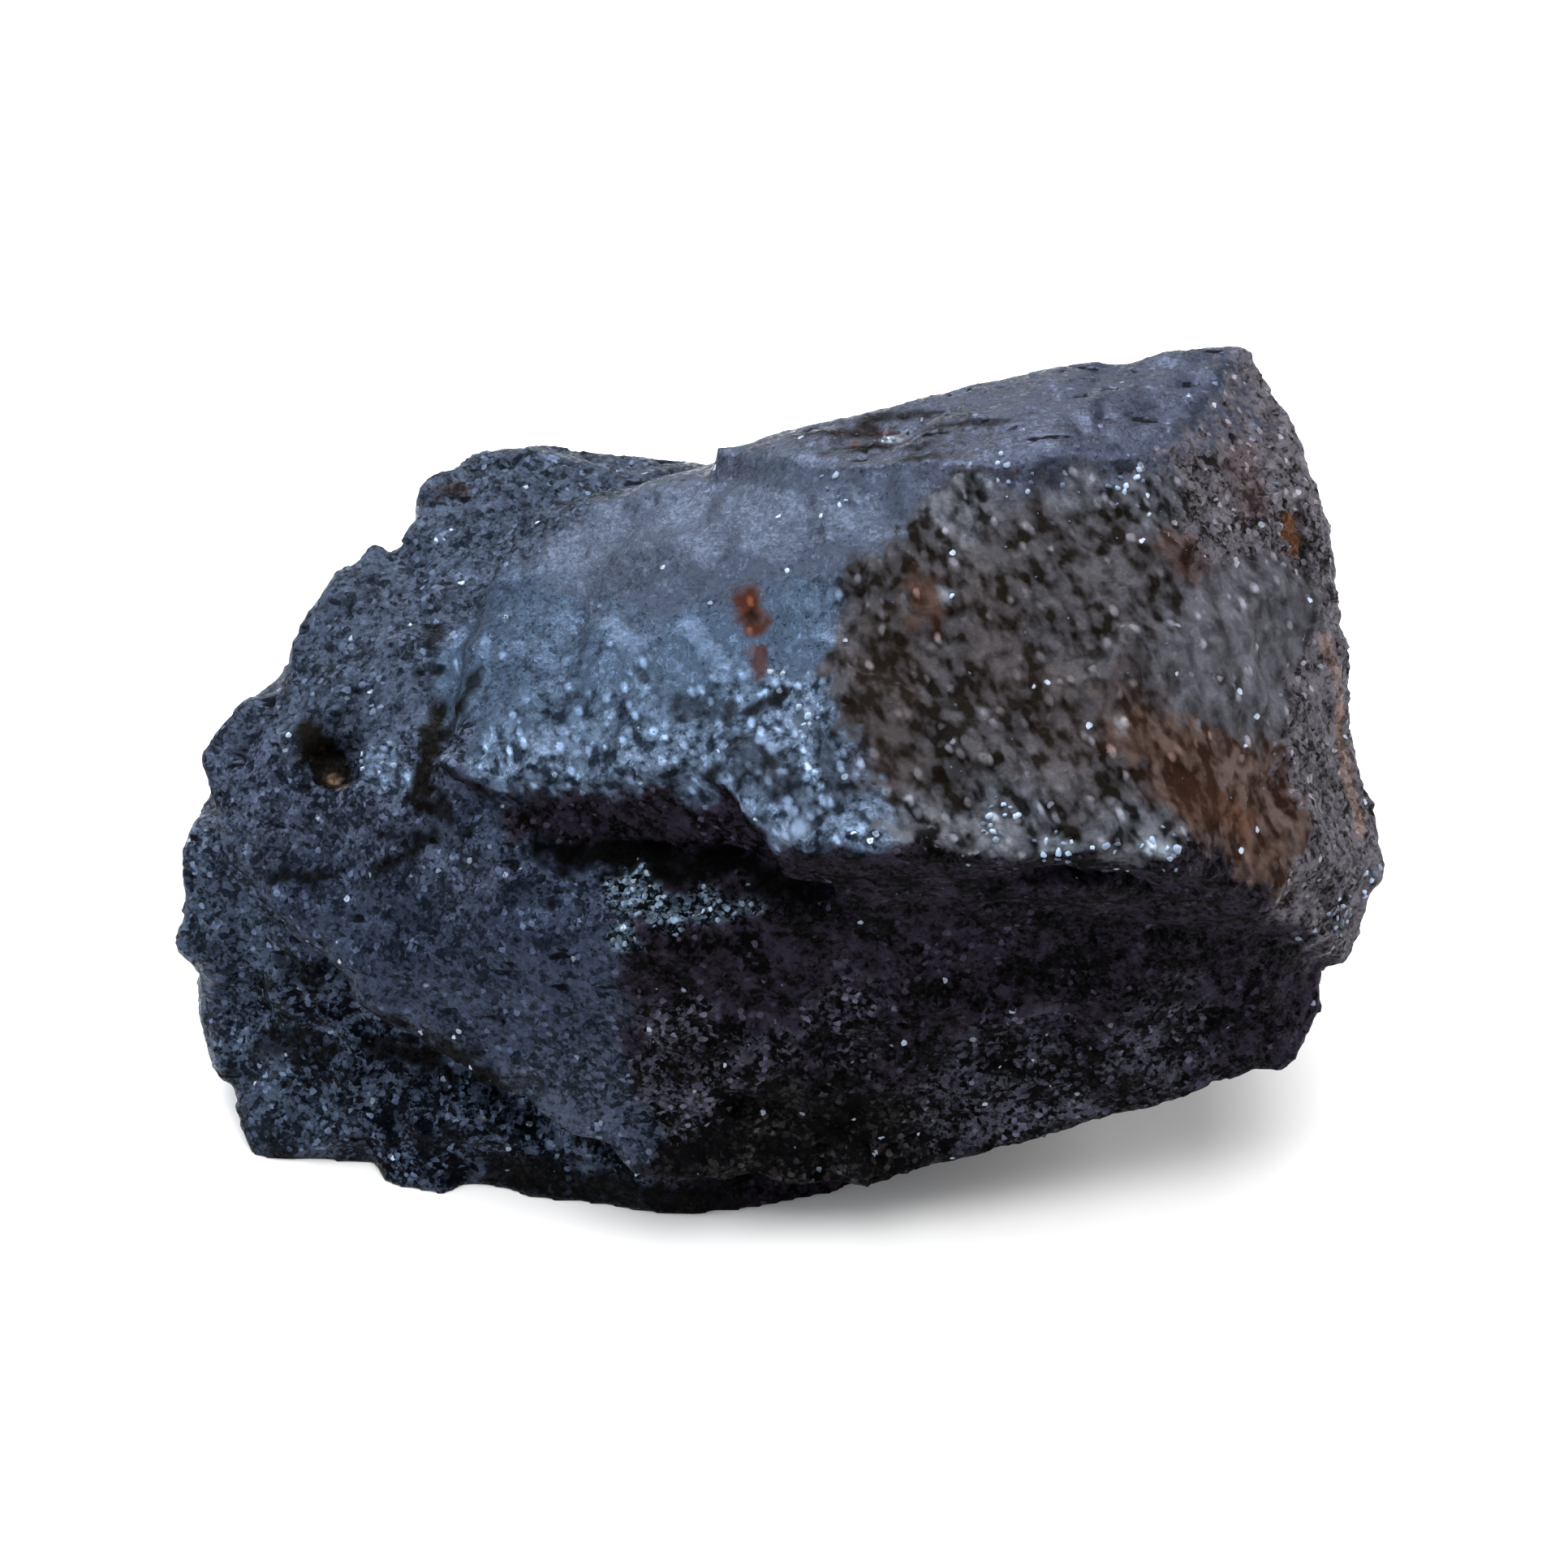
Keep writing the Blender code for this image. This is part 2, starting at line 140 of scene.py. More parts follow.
class Nodes:
    """Builds the nodes of one tree, of a finish or of a modifier."""

    def __init__(self, tree: bpy.types.NodeTree) -> None:
        """Work on that tree."""
        self.tree = tree

    def add(self, kind: str, settings: dict[str, Any], inputs: dict[Any, Value], output: Any = 0) -> Socket:
        """Add a node of any type.

        Args:
            kind: The node's type.
            settings: Its settings, which are set first, since they can change its sockets.
            inputs: The value or the link of each socket, by name or by place.
            output: The name or the place of the output that is given back.

        Returns:
            That output of the new node.
        """
        node = self.tree.nodes.new(kind)
        for name, setting in settings.items():
            setattr(node, name, setting)
        for name, value in inputs.items():
            self.feed(node.inputs[name], value)
        return Socket(self, node.outputs[output]) if node.outputs else Socket(self, node.inputs[0])

    def feed(self, target: bpy.types.NodeSocket, value: Value) -> None:
        """Link a socket to another, or set its value.

        Args:
            target: The socket that is fed.
            value: A link, a number, a text or three numbers.
        """
        if isinstance(value, Socket):
            self.tree.links.new(value.source, target)
        elif target.type == "RGBA" and isinstance(value, tuple):
            target.default_value = (*value, 1.0)
        elif target.type == "VECTOR" and isinstance(value, (int, float)):
            target.default_value = (value, value, value)
        else:
            target.default_value = value

    def combine(self, operation: str, first: Value, second: Value) -> Socket:
        """Work out two values with a Math node, or with a Vector Math node where one is a vector.

        Args:
            operation: The operation, which both kinds of node have.
            first: The first value.
            second: The second value.

        Returns:
            The result.
        """
        triple = [isinstance(v, tuple) or (isinstance(v, Socket) and v.is_vector) for v in (first, second)]
        kind = "ShaderNodeVectorMath" if any(triple) else "ShaderNodeMath"
        return self.add(kind, {"operation": operation}, {0: first, 1: second})

    def vector(self, operation: str, *values: Value) -> Socket:
        """Work out vectors with a Vector Math node.

        Args:
            operation: The operation.
            values: Its operands.

        Returns:
            The vector, or the number where the operation gives one.
        """
        output = 1 if operation == "DOT_PRODUCT" else 0
        return self.add("ShaderNodeVectorMath", {"operation": operation}, dict(enumerate(values)), output)

    def blend(self, share: Value, first: Value, second: Value) -> Socket:
        """Mix two colours.

        Args:
            share: How much of the second there is.
            first: The colour at a share of 0.
            second: The colour at a share of 1.

        Returns:
            The mixed colour.
        """
        settings = {"data_type": "RGBA", "clamp_factor": True}
        factor, first_colour, second_colour, mixed = 0, 6, 7, 2
        inputs = {factor: share, first_colour: first, second_colour: second}
        return self.add("ShaderNodeMix", settings, inputs, mixed)

    def soft_noise(self, place: Value, size: float, detail: float = 2.0) -> Socket:
        """Give cloudy noise round 0.5.

        Args:
            place: Where it is read, in millimetres.
            size: The size of its largest lumps, in millimetres.
            detail: How many finer layers it has.

        Returns:
            The noise.
        """
        inputs = {"Vector": place, "Scale": 1.0 / size, "Detail": detail, "Roughness": 0.55}
        return self.add("ShaderNodeTexNoise", {"noise_dimensions": "3D"}, inputs)

    def sway(self, place: Value, scale: float) -> Socket:
        """Give three cloudy noises at once, to bend a place by.

        Args:
            place: Where they are read, in millimetres.
            scale: How many of their lumps fit in a millimetre.

        Returns:
            The three noises, each round 0.5.
        """
        return self.add("ShaderNodeTexNoise", {}, {"Vector": place, "Scale": scale}, "Color")

    def cells(self, place: Value, size: float, output: str = "Color") -> Socket:
        """Divide space into rounded cells.

        Args:
            place: Where the cells are read, in millimetres.
            size: The usual size of a cell, in millimetres.
            output: The output that is wanted: Color, Distance or Position.

        Returns:
            That output.
        """
        settings = {"voronoi_dimensions": "3D", "feature": "F1"}
        return self.add("ShaderNodeTexVoronoi", settings, {"Vector": place, "Scale": 1.0 / size}, output)

    def draw(self, kind: str, low: float, high: float, seed: int) -> Socket:
        """Draw a random value for each grain that a modifier sets.

        Args:
            kind: FLOAT for one number, or FLOAT_VECTOR for three.
            low: The least that a number can be.
            high: The most that it can be.
            seed: Which draw it is.

        Returns:
            The number or the three numbers.
        """
        least, most, output = (2, 3, 1) if kind == "FLOAT" else (0, 1, 0)
        inputs = {least: low, most: high, "Seed": seed}
        return self.add("FunctionNodeRandomValue", {"data_type": kind}, inputs, output)

    def stored(self, name: str) -> Socket:
        """Read three numbers of each vertex in the tree of a modifier."""
        return self.add("GeometryNodeInputNamedAttribute", {"data_type": "FLOAT_VECTOR"}, {"Name": name})


class MaterialBench:
    """A material in the making: its nodes, its shader and the place that its patterns read."""

    def __init__(self, name: str, specular: float) -> None:
        """Start a material.

        Args:
            name: The material's name.
            specular: How strongly it reflects apart from its metal.
        """
        self.material = bpy.data.materials.new(name)
        self.material.use_nodes = True
        self.nodes = Nodes(self.material.node_tree)
        self.shader = self.material.node_tree.nodes["Principled BSDF"]
        self.shader.inputs["Specular IOR Level"].default_value = specular
        self.place = self.nodes.add("ShaderNodeTexCoord", {}, {}, "Object") * MM_PER_METRE

    def feed(self, name: str, value: Value) -> None:
        """Link or set one of the shader's inputs."""
        self.nodes.feed(self.shader.inputs[name], value)

    def bump(
        self, height: Socket, strength: float, depth: float, normal: Optional[Socket] = None
    ) -> Socket:
        """Give the normal of a finely uneven surface.

        Args:
            height: The height, from 0 to 1.
            strength: How much of it shows.
            depth: How deep a height of 1 is, in metres.
            normal: The normal that it starts from, where that isn't the mesh's own.

        Returns:
            The normal.
        """
        inputs = {"Strength": strength, "Distance": depth, "Height": height}
        if normal is not None:
            inputs["Normal"] = normal
        return self.nodes.add("ShaderNodeBump", {}, inputs)


class ModifierTree(Nodes):
    """The nodes of a modifier that takes one mesh and gives another."""

    def __init__(self, name: str) -> None:
        """Start a tree of that name with its way in."""
        super().__init__(bpy.data.node_groups.new(name, "GeometryNodeTree"))
        for way in ("INPUT", "OUTPUT"):
            self.tree.interface.new_socket("Geometry", in_out=way, socket_type="NodeSocketGeometry")
        self.taken = self.add("NodeGroupInput", {}, {})

    def give(self, mesh: Socket) -> None:
        """Make a mesh the one that the modifier gives."""
        self.add("NodeGroupOutput", {}, {"Geometry": mesh})


@dataclass(frozen=True)
class Grain:
    """The grain of the ore: patterns that the surface and its finish both read, so that they agree.

    Along is the way that the streaks run, and level squeezes space so that the fissures come out
    long and nearly level. The fields that end in sway say how far a pattern is bent out of line.
    """

    lump: float = 0.62
    lump_stretch: float = 0.65
    lump_sway: float = 0.4
    along: Triple = (0.47, -0.78, -0.41)
    streak: float = 2.2
    streak_stretch: float = 0.48
    stroke: float = 0.72
    stroke_stretch: float = 0.6
    facet: float = 2.3
    facet_sway: float = 1.6
    facet_tilt: float = 0.5
    coarse: float = 0.6
    coarse_dome: float = 0.7
    coarse_tilt: float = 1.4
    pit: float = 1.5
    fissure: float = 0.8
    fissure_gap: float = 1.6
    level: Triple = (0.2, 0.7, 1.0)

    def drawn_out(self, nodes: Nodes, place: Socket, stretch: float) -> Socket:
        """Draw space out along the streaks.

        Args:
            nodes: The tree that it is built in.
            place: The place in millimetres.
            stretch: The width of what comes out for a length of one.

        Returns:
            The place, squeezed along the streaks so that what is read there comes out long.
        """
        along = place.dot(self.along) * (stretch - 1.0)
        return place + along * nodes.vector("SCALE", self.along)

    def lump_cells(self, nodes: Nodes, place: Socket) -> Socket:
        """Give how far each place is from the middle of its lump, in lump sizes."""
        shift = nodes.sway(place, scale=0.6) * self.lump_sway
        long = self.drawn_out(nodes, place, self.lump_stretch) + shift
        inputs = {"Vector": long, "Scale": 1.0 / self.lump, "Smoothness": 0.55}
        return nodes.add("ShaderNodeTexVoronoi", {"feature": "SMOOTH_F1"}, inputs, "Distance")

    def lumps(self, nodes: Nodes, place: Socket) -> Socket:
        """Give the rounded lumps of the sloping roof, from 0 between them to 1 on top."""
        return self.lump_cells(nodes, place).step(0.6, 0.1)

    def streaks(self, nodes: Nodes, place: Socket) -> Socket:
        """Give the long, darker and lighter streaks of the sloping roof, from 0 to 1."""
        long = self.drawn_out(nodes, place, self.streak_stretch)
        return nodes.soft_noise(long, self.streak, 3.0).step(0.36, 0.66)

    def strokes(self, nodes: Nodes, place: Socket) -> Socket:
        """Give the short, soft strokes of single grains along the streaks, from 0 to 1."""
        long = self.drawn_out(nodes, place, self.stroke_stretch)
        return nodes.soft_noise(long, self.stroke, 1.5).step(0.3, 0.68)

    def facets(self, nodes: Nodes, place: Socket) -> Socket:
        """Give the height of flat, tilted fracture facets, in millimetres."""
        bent = place + nodes.sway(place, scale=0.35) * self.facet_sway
        cell = nodes.cells(bent, self.facet)
        reach = bent - cell.output("Position")
        return (cell - 0.5).dot(reach) * (2.0 * self.facet_tilt)

    def coarse_grains(self, nodes: Nodes, place: Socket) -> Socket:
        """Give the height of coarse grains, each a small tilted dome, from 0 to about 1."""
        cell = nodes.cells(place, self.coarse)
        tilt = (cell - 0.5).dot(place - cell.output("Position"))
        return cell.output("Distance").step(0.75, 0.1) * self.coarse_dome + tilt * self.coarse_tilt

    def pits(self, nodes: Nodes, place: Socket) -> Socket:
        """Give the small pits, from 0 outside them to 1 in their middle."""
        cell = nodes.cells(place, self.pit)
        chosen = cell.part(0).step(0.5, 0.6)
        return cell.output("Distance").step(0.24, 0.06) * chosen

    def fissures(self, nodes: Nodes, place: Socket, much: Socket) -> Socket:
        """Give the thin, nearly level fissures.

        Args:
            nodes: The tree that it is built in.
            place: The place in millimetres.
            much: How fissured the zone is, where more means wider ones.

        Returns:
            A number from 0 outside them to 1 in their middle.
        """
        level = nodes.vector("MULTIPLY", place, self.level)
        value = nodes.soft_noise(level, self.fissure, 2.0) - much * 0.03
        broken = nodes.soft_noise(place, self.fissure_gap).step(0.48, 0.6)
        return value.step(0.38, 0.33) * broken * much.step(0.0, 0.6)


@dataclass(frozen=True)
class Coat:
    """How one zone of the stone looks and how rough it is.

    Its grains run from dark to light. Middle is the share of them that are nearer to dark, and
    width says how even the step between the two is. Tilt is how far the grains turn away from the
    surface, and glint is the share of them that shine. The heights are in millimetres. Crystals and
    pale say how thickly bright crystals and pale mineral grains stand on it. Spots are soft and a
    lump wide, specks are sharp and a grain wide, and both are painted sparkle: brighter colour that
    stands in for the glints of the grains. Cloudy says how much darker and lighter whole stretches are.
    """

    dark: Triple
    light: Triple
    middle: float
    width: float
    metal: float
    rough: float
    tilt: float
    glint: float
    lumpy: float = 0.0
    lump_height: float = 0.0
    facet_height: float = 0.2
    grain_height: float = 0.04
    pit_depth: float = 0.0
    fissured: float = 0.0
    crystals: float = 0.0
    pale: float = 0.0
    spots: float = 0.0
    specks: float = 0.0
    cloudy: float = 0.0


class Zone(Enum):
    """A zone of the stone, with its coat.

    The blue in many coats is partly painted reflection of a cool sky, since the soft boxes are nearly
    white.
    """

    CAP = Coat(
        dark=(0.019, 0.022, 0.033), light=(0.043, 0.051, 0.08), middle=0.4, width=1.0, metal=0.75,
        rough=0.43, tilt=0.14, glint=0.005, facet_height=0.07, grain_height=0.02, pit_depth=0.1,
        fissured=0.8, pale=0.003, specks=0.05,
    )
    CRACKED = Coat(
        dark=(0.0105, 0.01, 0.013), light=(0.031, 0.036, 0.052), middle=0.46, width=0.6, metal=0.6,
        rough=0.45, tilt=0.2, glint=0.005, facet_height=0.14, grain_height=0.04, pit_depth=0.12,
        fissured=2.6, pale=0.006, specks=0.08,
    )
    CHEEK = Coat(
        dark=(0.028, 0.034, 0.05), light=(0.051, 0.065, 0.098), middle=0.45, width=1.3, metal=0.7,
        rough=0.45, tilt=0.06, glint=0.002, facet_height=0.06, grain_height=0.01, pale=0.001,
    )
    SHEEN = Coat(
        dark=(0.022, 0.032, 0.051), light=(0.049, 0.074, 0.118), middle=0.45, width=1.3, metal=0.8,
        rough=0.4, tilt=0.07, glint=0.003, facet_height=0.06, grain_height=0.02, pale=0.002,
        spots=0.12,
    )
    BRIGHT = Coat(
        dark=(0.0085, 0.013, 0.0215), light=(0.07, 0.098, 0.148), middle=0.53, width=0.42,
        metal=0.7, rough=0.38, tilt=0.14, glint=0.006, lumpy=0.85, facet_height=0.12,
        grain_height=0.06, crystals=0.01, pale=0.03, spots=0.9,
    )
    DAPPLED = Coat(
        dark=(0.0078, 0.012, 0.0195), light=(0.058, 0.086, 0.133), middle=0.48, width=0.55,
        metal=0.75, rough=0.4, tilt=0.09, glint=0.003, lumpy=0.8, facet_height=0.08,
        grain_height=0.03, pale=0.006, spots=0.7,
    )
    ROOF = Coat(
        dark=(0.004, 0.0028, 0.0021), light=(0.043, 0.0415, 0.048), middle=0.53, width=0.48,
        metal=0.3, rough=0.5, tilt=0.2, glint=0.005, lumpy=1.0, lump_height=0.08, facet_height=0.12,
        grain_height=0.02, pale=0.02, spots=0.25,
    )
    ASHEN = Coat(
        dark=(0.0125, 0.0118, 0.0138), light=(0.078, 0.08, 0.096), middle=0.5, width=0.75,
        metal=0.3, rough=0.5, tilt=0.22, glint=0.006, lumpy=0.9, lump_height=0.08,
        facet_height=0.12, grain_height=0.03, pale=0.02, spots=0.3,
    )
    FROSTED = Coat(
        dark=(0.0042, 0.0044, 0.005), light=(0.078, 0.083, 0.1), middle=0.5, width=0.5, metal=0.3,
        rough=0.5, tilt=0.22, glint=0.006, lumpy=0.9, lump_height=0.08, facet_height=0.12,
        grain_height=0.03, pale=0.04, spots=0.5,
    )
    RUSTY = Coat(
        dark=(0.0125, 0.0047, 0.0025), light=(0.072, 0.05, 0.044), middle=0.53, width=0.45,
        metal=0.2, rough=0.55, tilt=0.22, glint=0.004, lumpy=1.0, lump_height=0.08,
        facet_height=0.12, grain_height=0.03, pale=0.02, spots=0.2,
    )
    BLUSH = Coat(
        dark=(0.0052, 0.0038, 0.0042), light=(0.098, 0.091, 0.108), middle=0.51, width=0.38,
        metal=0.2, rough=0.5, tilt=0.45, glint=0.008, lumpy=0.35, lump_height=0.14,
        facet_height=0.2, grain_height=0.08, crystals=0.02, pale=0.05, specks=0.15,
    )
    SHOULDER = Coat(
        dark=(0.0046, 0.007, 0.0118), light=(0.0385, 0.0515, 0.08), middle=0.45, width=0.5,
        metal=0.4, rough=0.52, tilt=0.22, glint=0.006, facet_height=0.18, grain_height=0.06,
        fissured=1.0, crystals=0.01, pale=0.0012, specks=0.2, cloudy=0.3,
    )
    FLANK = Coat(
        dark=(0.0041, 0.0063, 0.0114), light=(0.0305, 0.0405, 0.068), middle=0.47, width=0.38,
        metal=0.6, rough=0.45, tilt=0.38, glint=0.005, facet_height=0.1, grain_height=0.06,
        pit_depth=0.15, fissured=1.0, pale=0.0006, specks=0.2, cloudy=0.25,
    )
    DUSTY = Coat(
        dark=(0.0055, 0.0078, 0.0132), light=(0.046, 0.0585, 0.092), middle=0.47, width=0.36,
        metal=0.6, rough=0.45, tilt=0.38, glint=0.005, facet_height=0.1, grain_height=0.06,
        pit_depth=0.15, fissured=1.0, pale=0.001, specks=0.2, cloudy=0.3,
    )
    GRITTY = Coat(
        dark=(0.001, 0.0018, 0.003), light=(0.08, 0.115, 0.16), middle=0.6, width=0.35, metal=0.5,
        rough=0.4, tilt=0.5, glint=0.04, facet_height=0.15, grain_height=0.2, crystals=0.1,
        pale=0.5, specks=0.4,
    )
    # Its very dark colour is partly the wall's own brown-black and partly painted shade for a face turned
    # away from the light.
    WALL = Coat(
        dark=(0.0002, 0.0001, 0.0003), light=(0.0185, 0.0145, 0.0245), middle=0.52, width=0.34,
        metal=0.15, rough=0.65, tilt=0.4, glint=0.003, lumpy=0.4, facet_height=0.12,
        grain_height=0.06, pit_depth=0.08, pale=0.003, specks=0.2, cloudy=0.25,
    )
    SPECKLED = Coat(
        dark=(0.0003, 0.0003, 0.0005), light=(0.048, 0.049, 0.069), middle=0.56, width=0.28,
        metal=0.15, rough=0.6, tilt=0.5, glint=0.008, facet_height=0.2, grain_height=0.08,
        pit_depth=0.1, crystals=0.01, pale=0.03, specks=0.4, cloudy=0.35,
    )
    OLIVE = Coat(
        dark=(0.0008, 0.0006, 0.001), light=(0.0185, 0.0165, 0.0175), middle=0.66, width=0.25,
        metal=0.05, rough=0.6, tilt=0.6, glint=0.004, facet_height=0.4, grain_height=0.14,
        pit_depth=0.2, crystals=0.01, pale=0.015, specks=0.2, cloudy=0.4,
    )
    FOOT = Coat(
        dark=(0.0006, 0.0012, 0.003), light=(0.046, 0.063, 0.1), middle=0.53, width=0.26,
        metal=0.45, rough=0.42, tilt=0.5, glint=0.01, facet_height=0.2, grain_height=0.12,
        pit_depth=0.15, fissured=0.8, crystals=0.05, pale=0.002, specks=0.4, cloudy=0.55,
    )
    CRUST = Coat(
        dark=(0.0042, 0.0062, 0.0108), light=(0.047, 0.064, 0.1), middle=0.49, width=0.32,
        metal=0.5, rough=0.42, tilt=0.5, glint=0.008, facet_height=0.16, grain_height=0.1,
        pit_depth=0.12, fissured=1.2, crystals=0.03, pale=0.002, specks=0.35, cloudy=0.3,
    )
    BROKEN = Coat(
        dark=(0.0015, 0.0012, 0.0012), light=(0.05, 0.042, 0.044), middle=0.66, width=0.2,
        metal=0.1, rough=0.6, tilt=0.6, glint=0.01, facet_height=0.6, grain_height=0.2, pale=0.12,
        specks=0.4,
    )
    # Painted shadow: a near-black coat for the gap under the lip, where shade falls.
    SOOTY = Coat(
        dark=(0.0002, 0.0002, 0.0003), light=(0.0006, 0.0006, 0.0008), middle=0.5, width=0.8,
        metal=0.0, rough=0.9, tilt=0.3, glint=0.0, facet_height=0.1, grain_height=0.05,
    )


@dataclass(frozen=True)
class Patch:
    """A place on the stone that belongs to a zone: its middle, the way it looks and its reach."""

    zone: Zone
    middle: Triple
    looks: Triple
    reach: float


class Tint(Enum):
    """A colour of the stains."""

    RUST = (0.046, 0.0145, 0.0075)
    BROWN = (0.022, 0.011, 0.008)
    BLACK = (0.0012, 0.001, 0.0012)
    EARTH = (0.03, 0.0175, 0.0115)
    BLOOM = (0.2, 0.13, 0.105)
    UMBER = (0.006, 0.0028, 0.0025)
    PALE = (0.24, 0.28, 0.33)
    SILVER = (0.17, 0.23, 0.33)
    ORANGE = (0.06, 0.022, 0.012)
    DEEP_RED = (0.02, 0.006, 0.004)
    RUSSET = (0.05, 0.022, 0.014)
    DULL_RUSSET = (0.055, 0.024, 0.018)
    BRIGHT_RUSSET = (0.07, 0.03, 0.016)
    EMBER = (0.085, 0.03, 0.012)
    WARM_RUSSET = (0.055, 0.026, 0.017)
    ROSE_BROWN = (0.05, 0.031, 0.03)
    OCHRE = (0.1, 0.04, 0.015)
    RED_EARTH = (0.042, 0.02, 0.012)
    SHADOW = (0.003, 0.0023, 0.0018)
    TAN = (0.13, 0.09, 0.062)
    DULL_TAN = (0.1, 0.075, 0.06)


@dataclass(frozen=True)
class Stain:
    """A coloured spot or streak in the surface, from one end to the other."""

    start: Triple
    end: Triple
    radius: float
    tint: Tint
    strength: float = 1.0


@dataclass(frozen=True)
class Cluster:
    """A cluster of pale mineral grains: its middle, its reach and how thickly they stand."""

    middle: Triple
    reach: float
    share: float


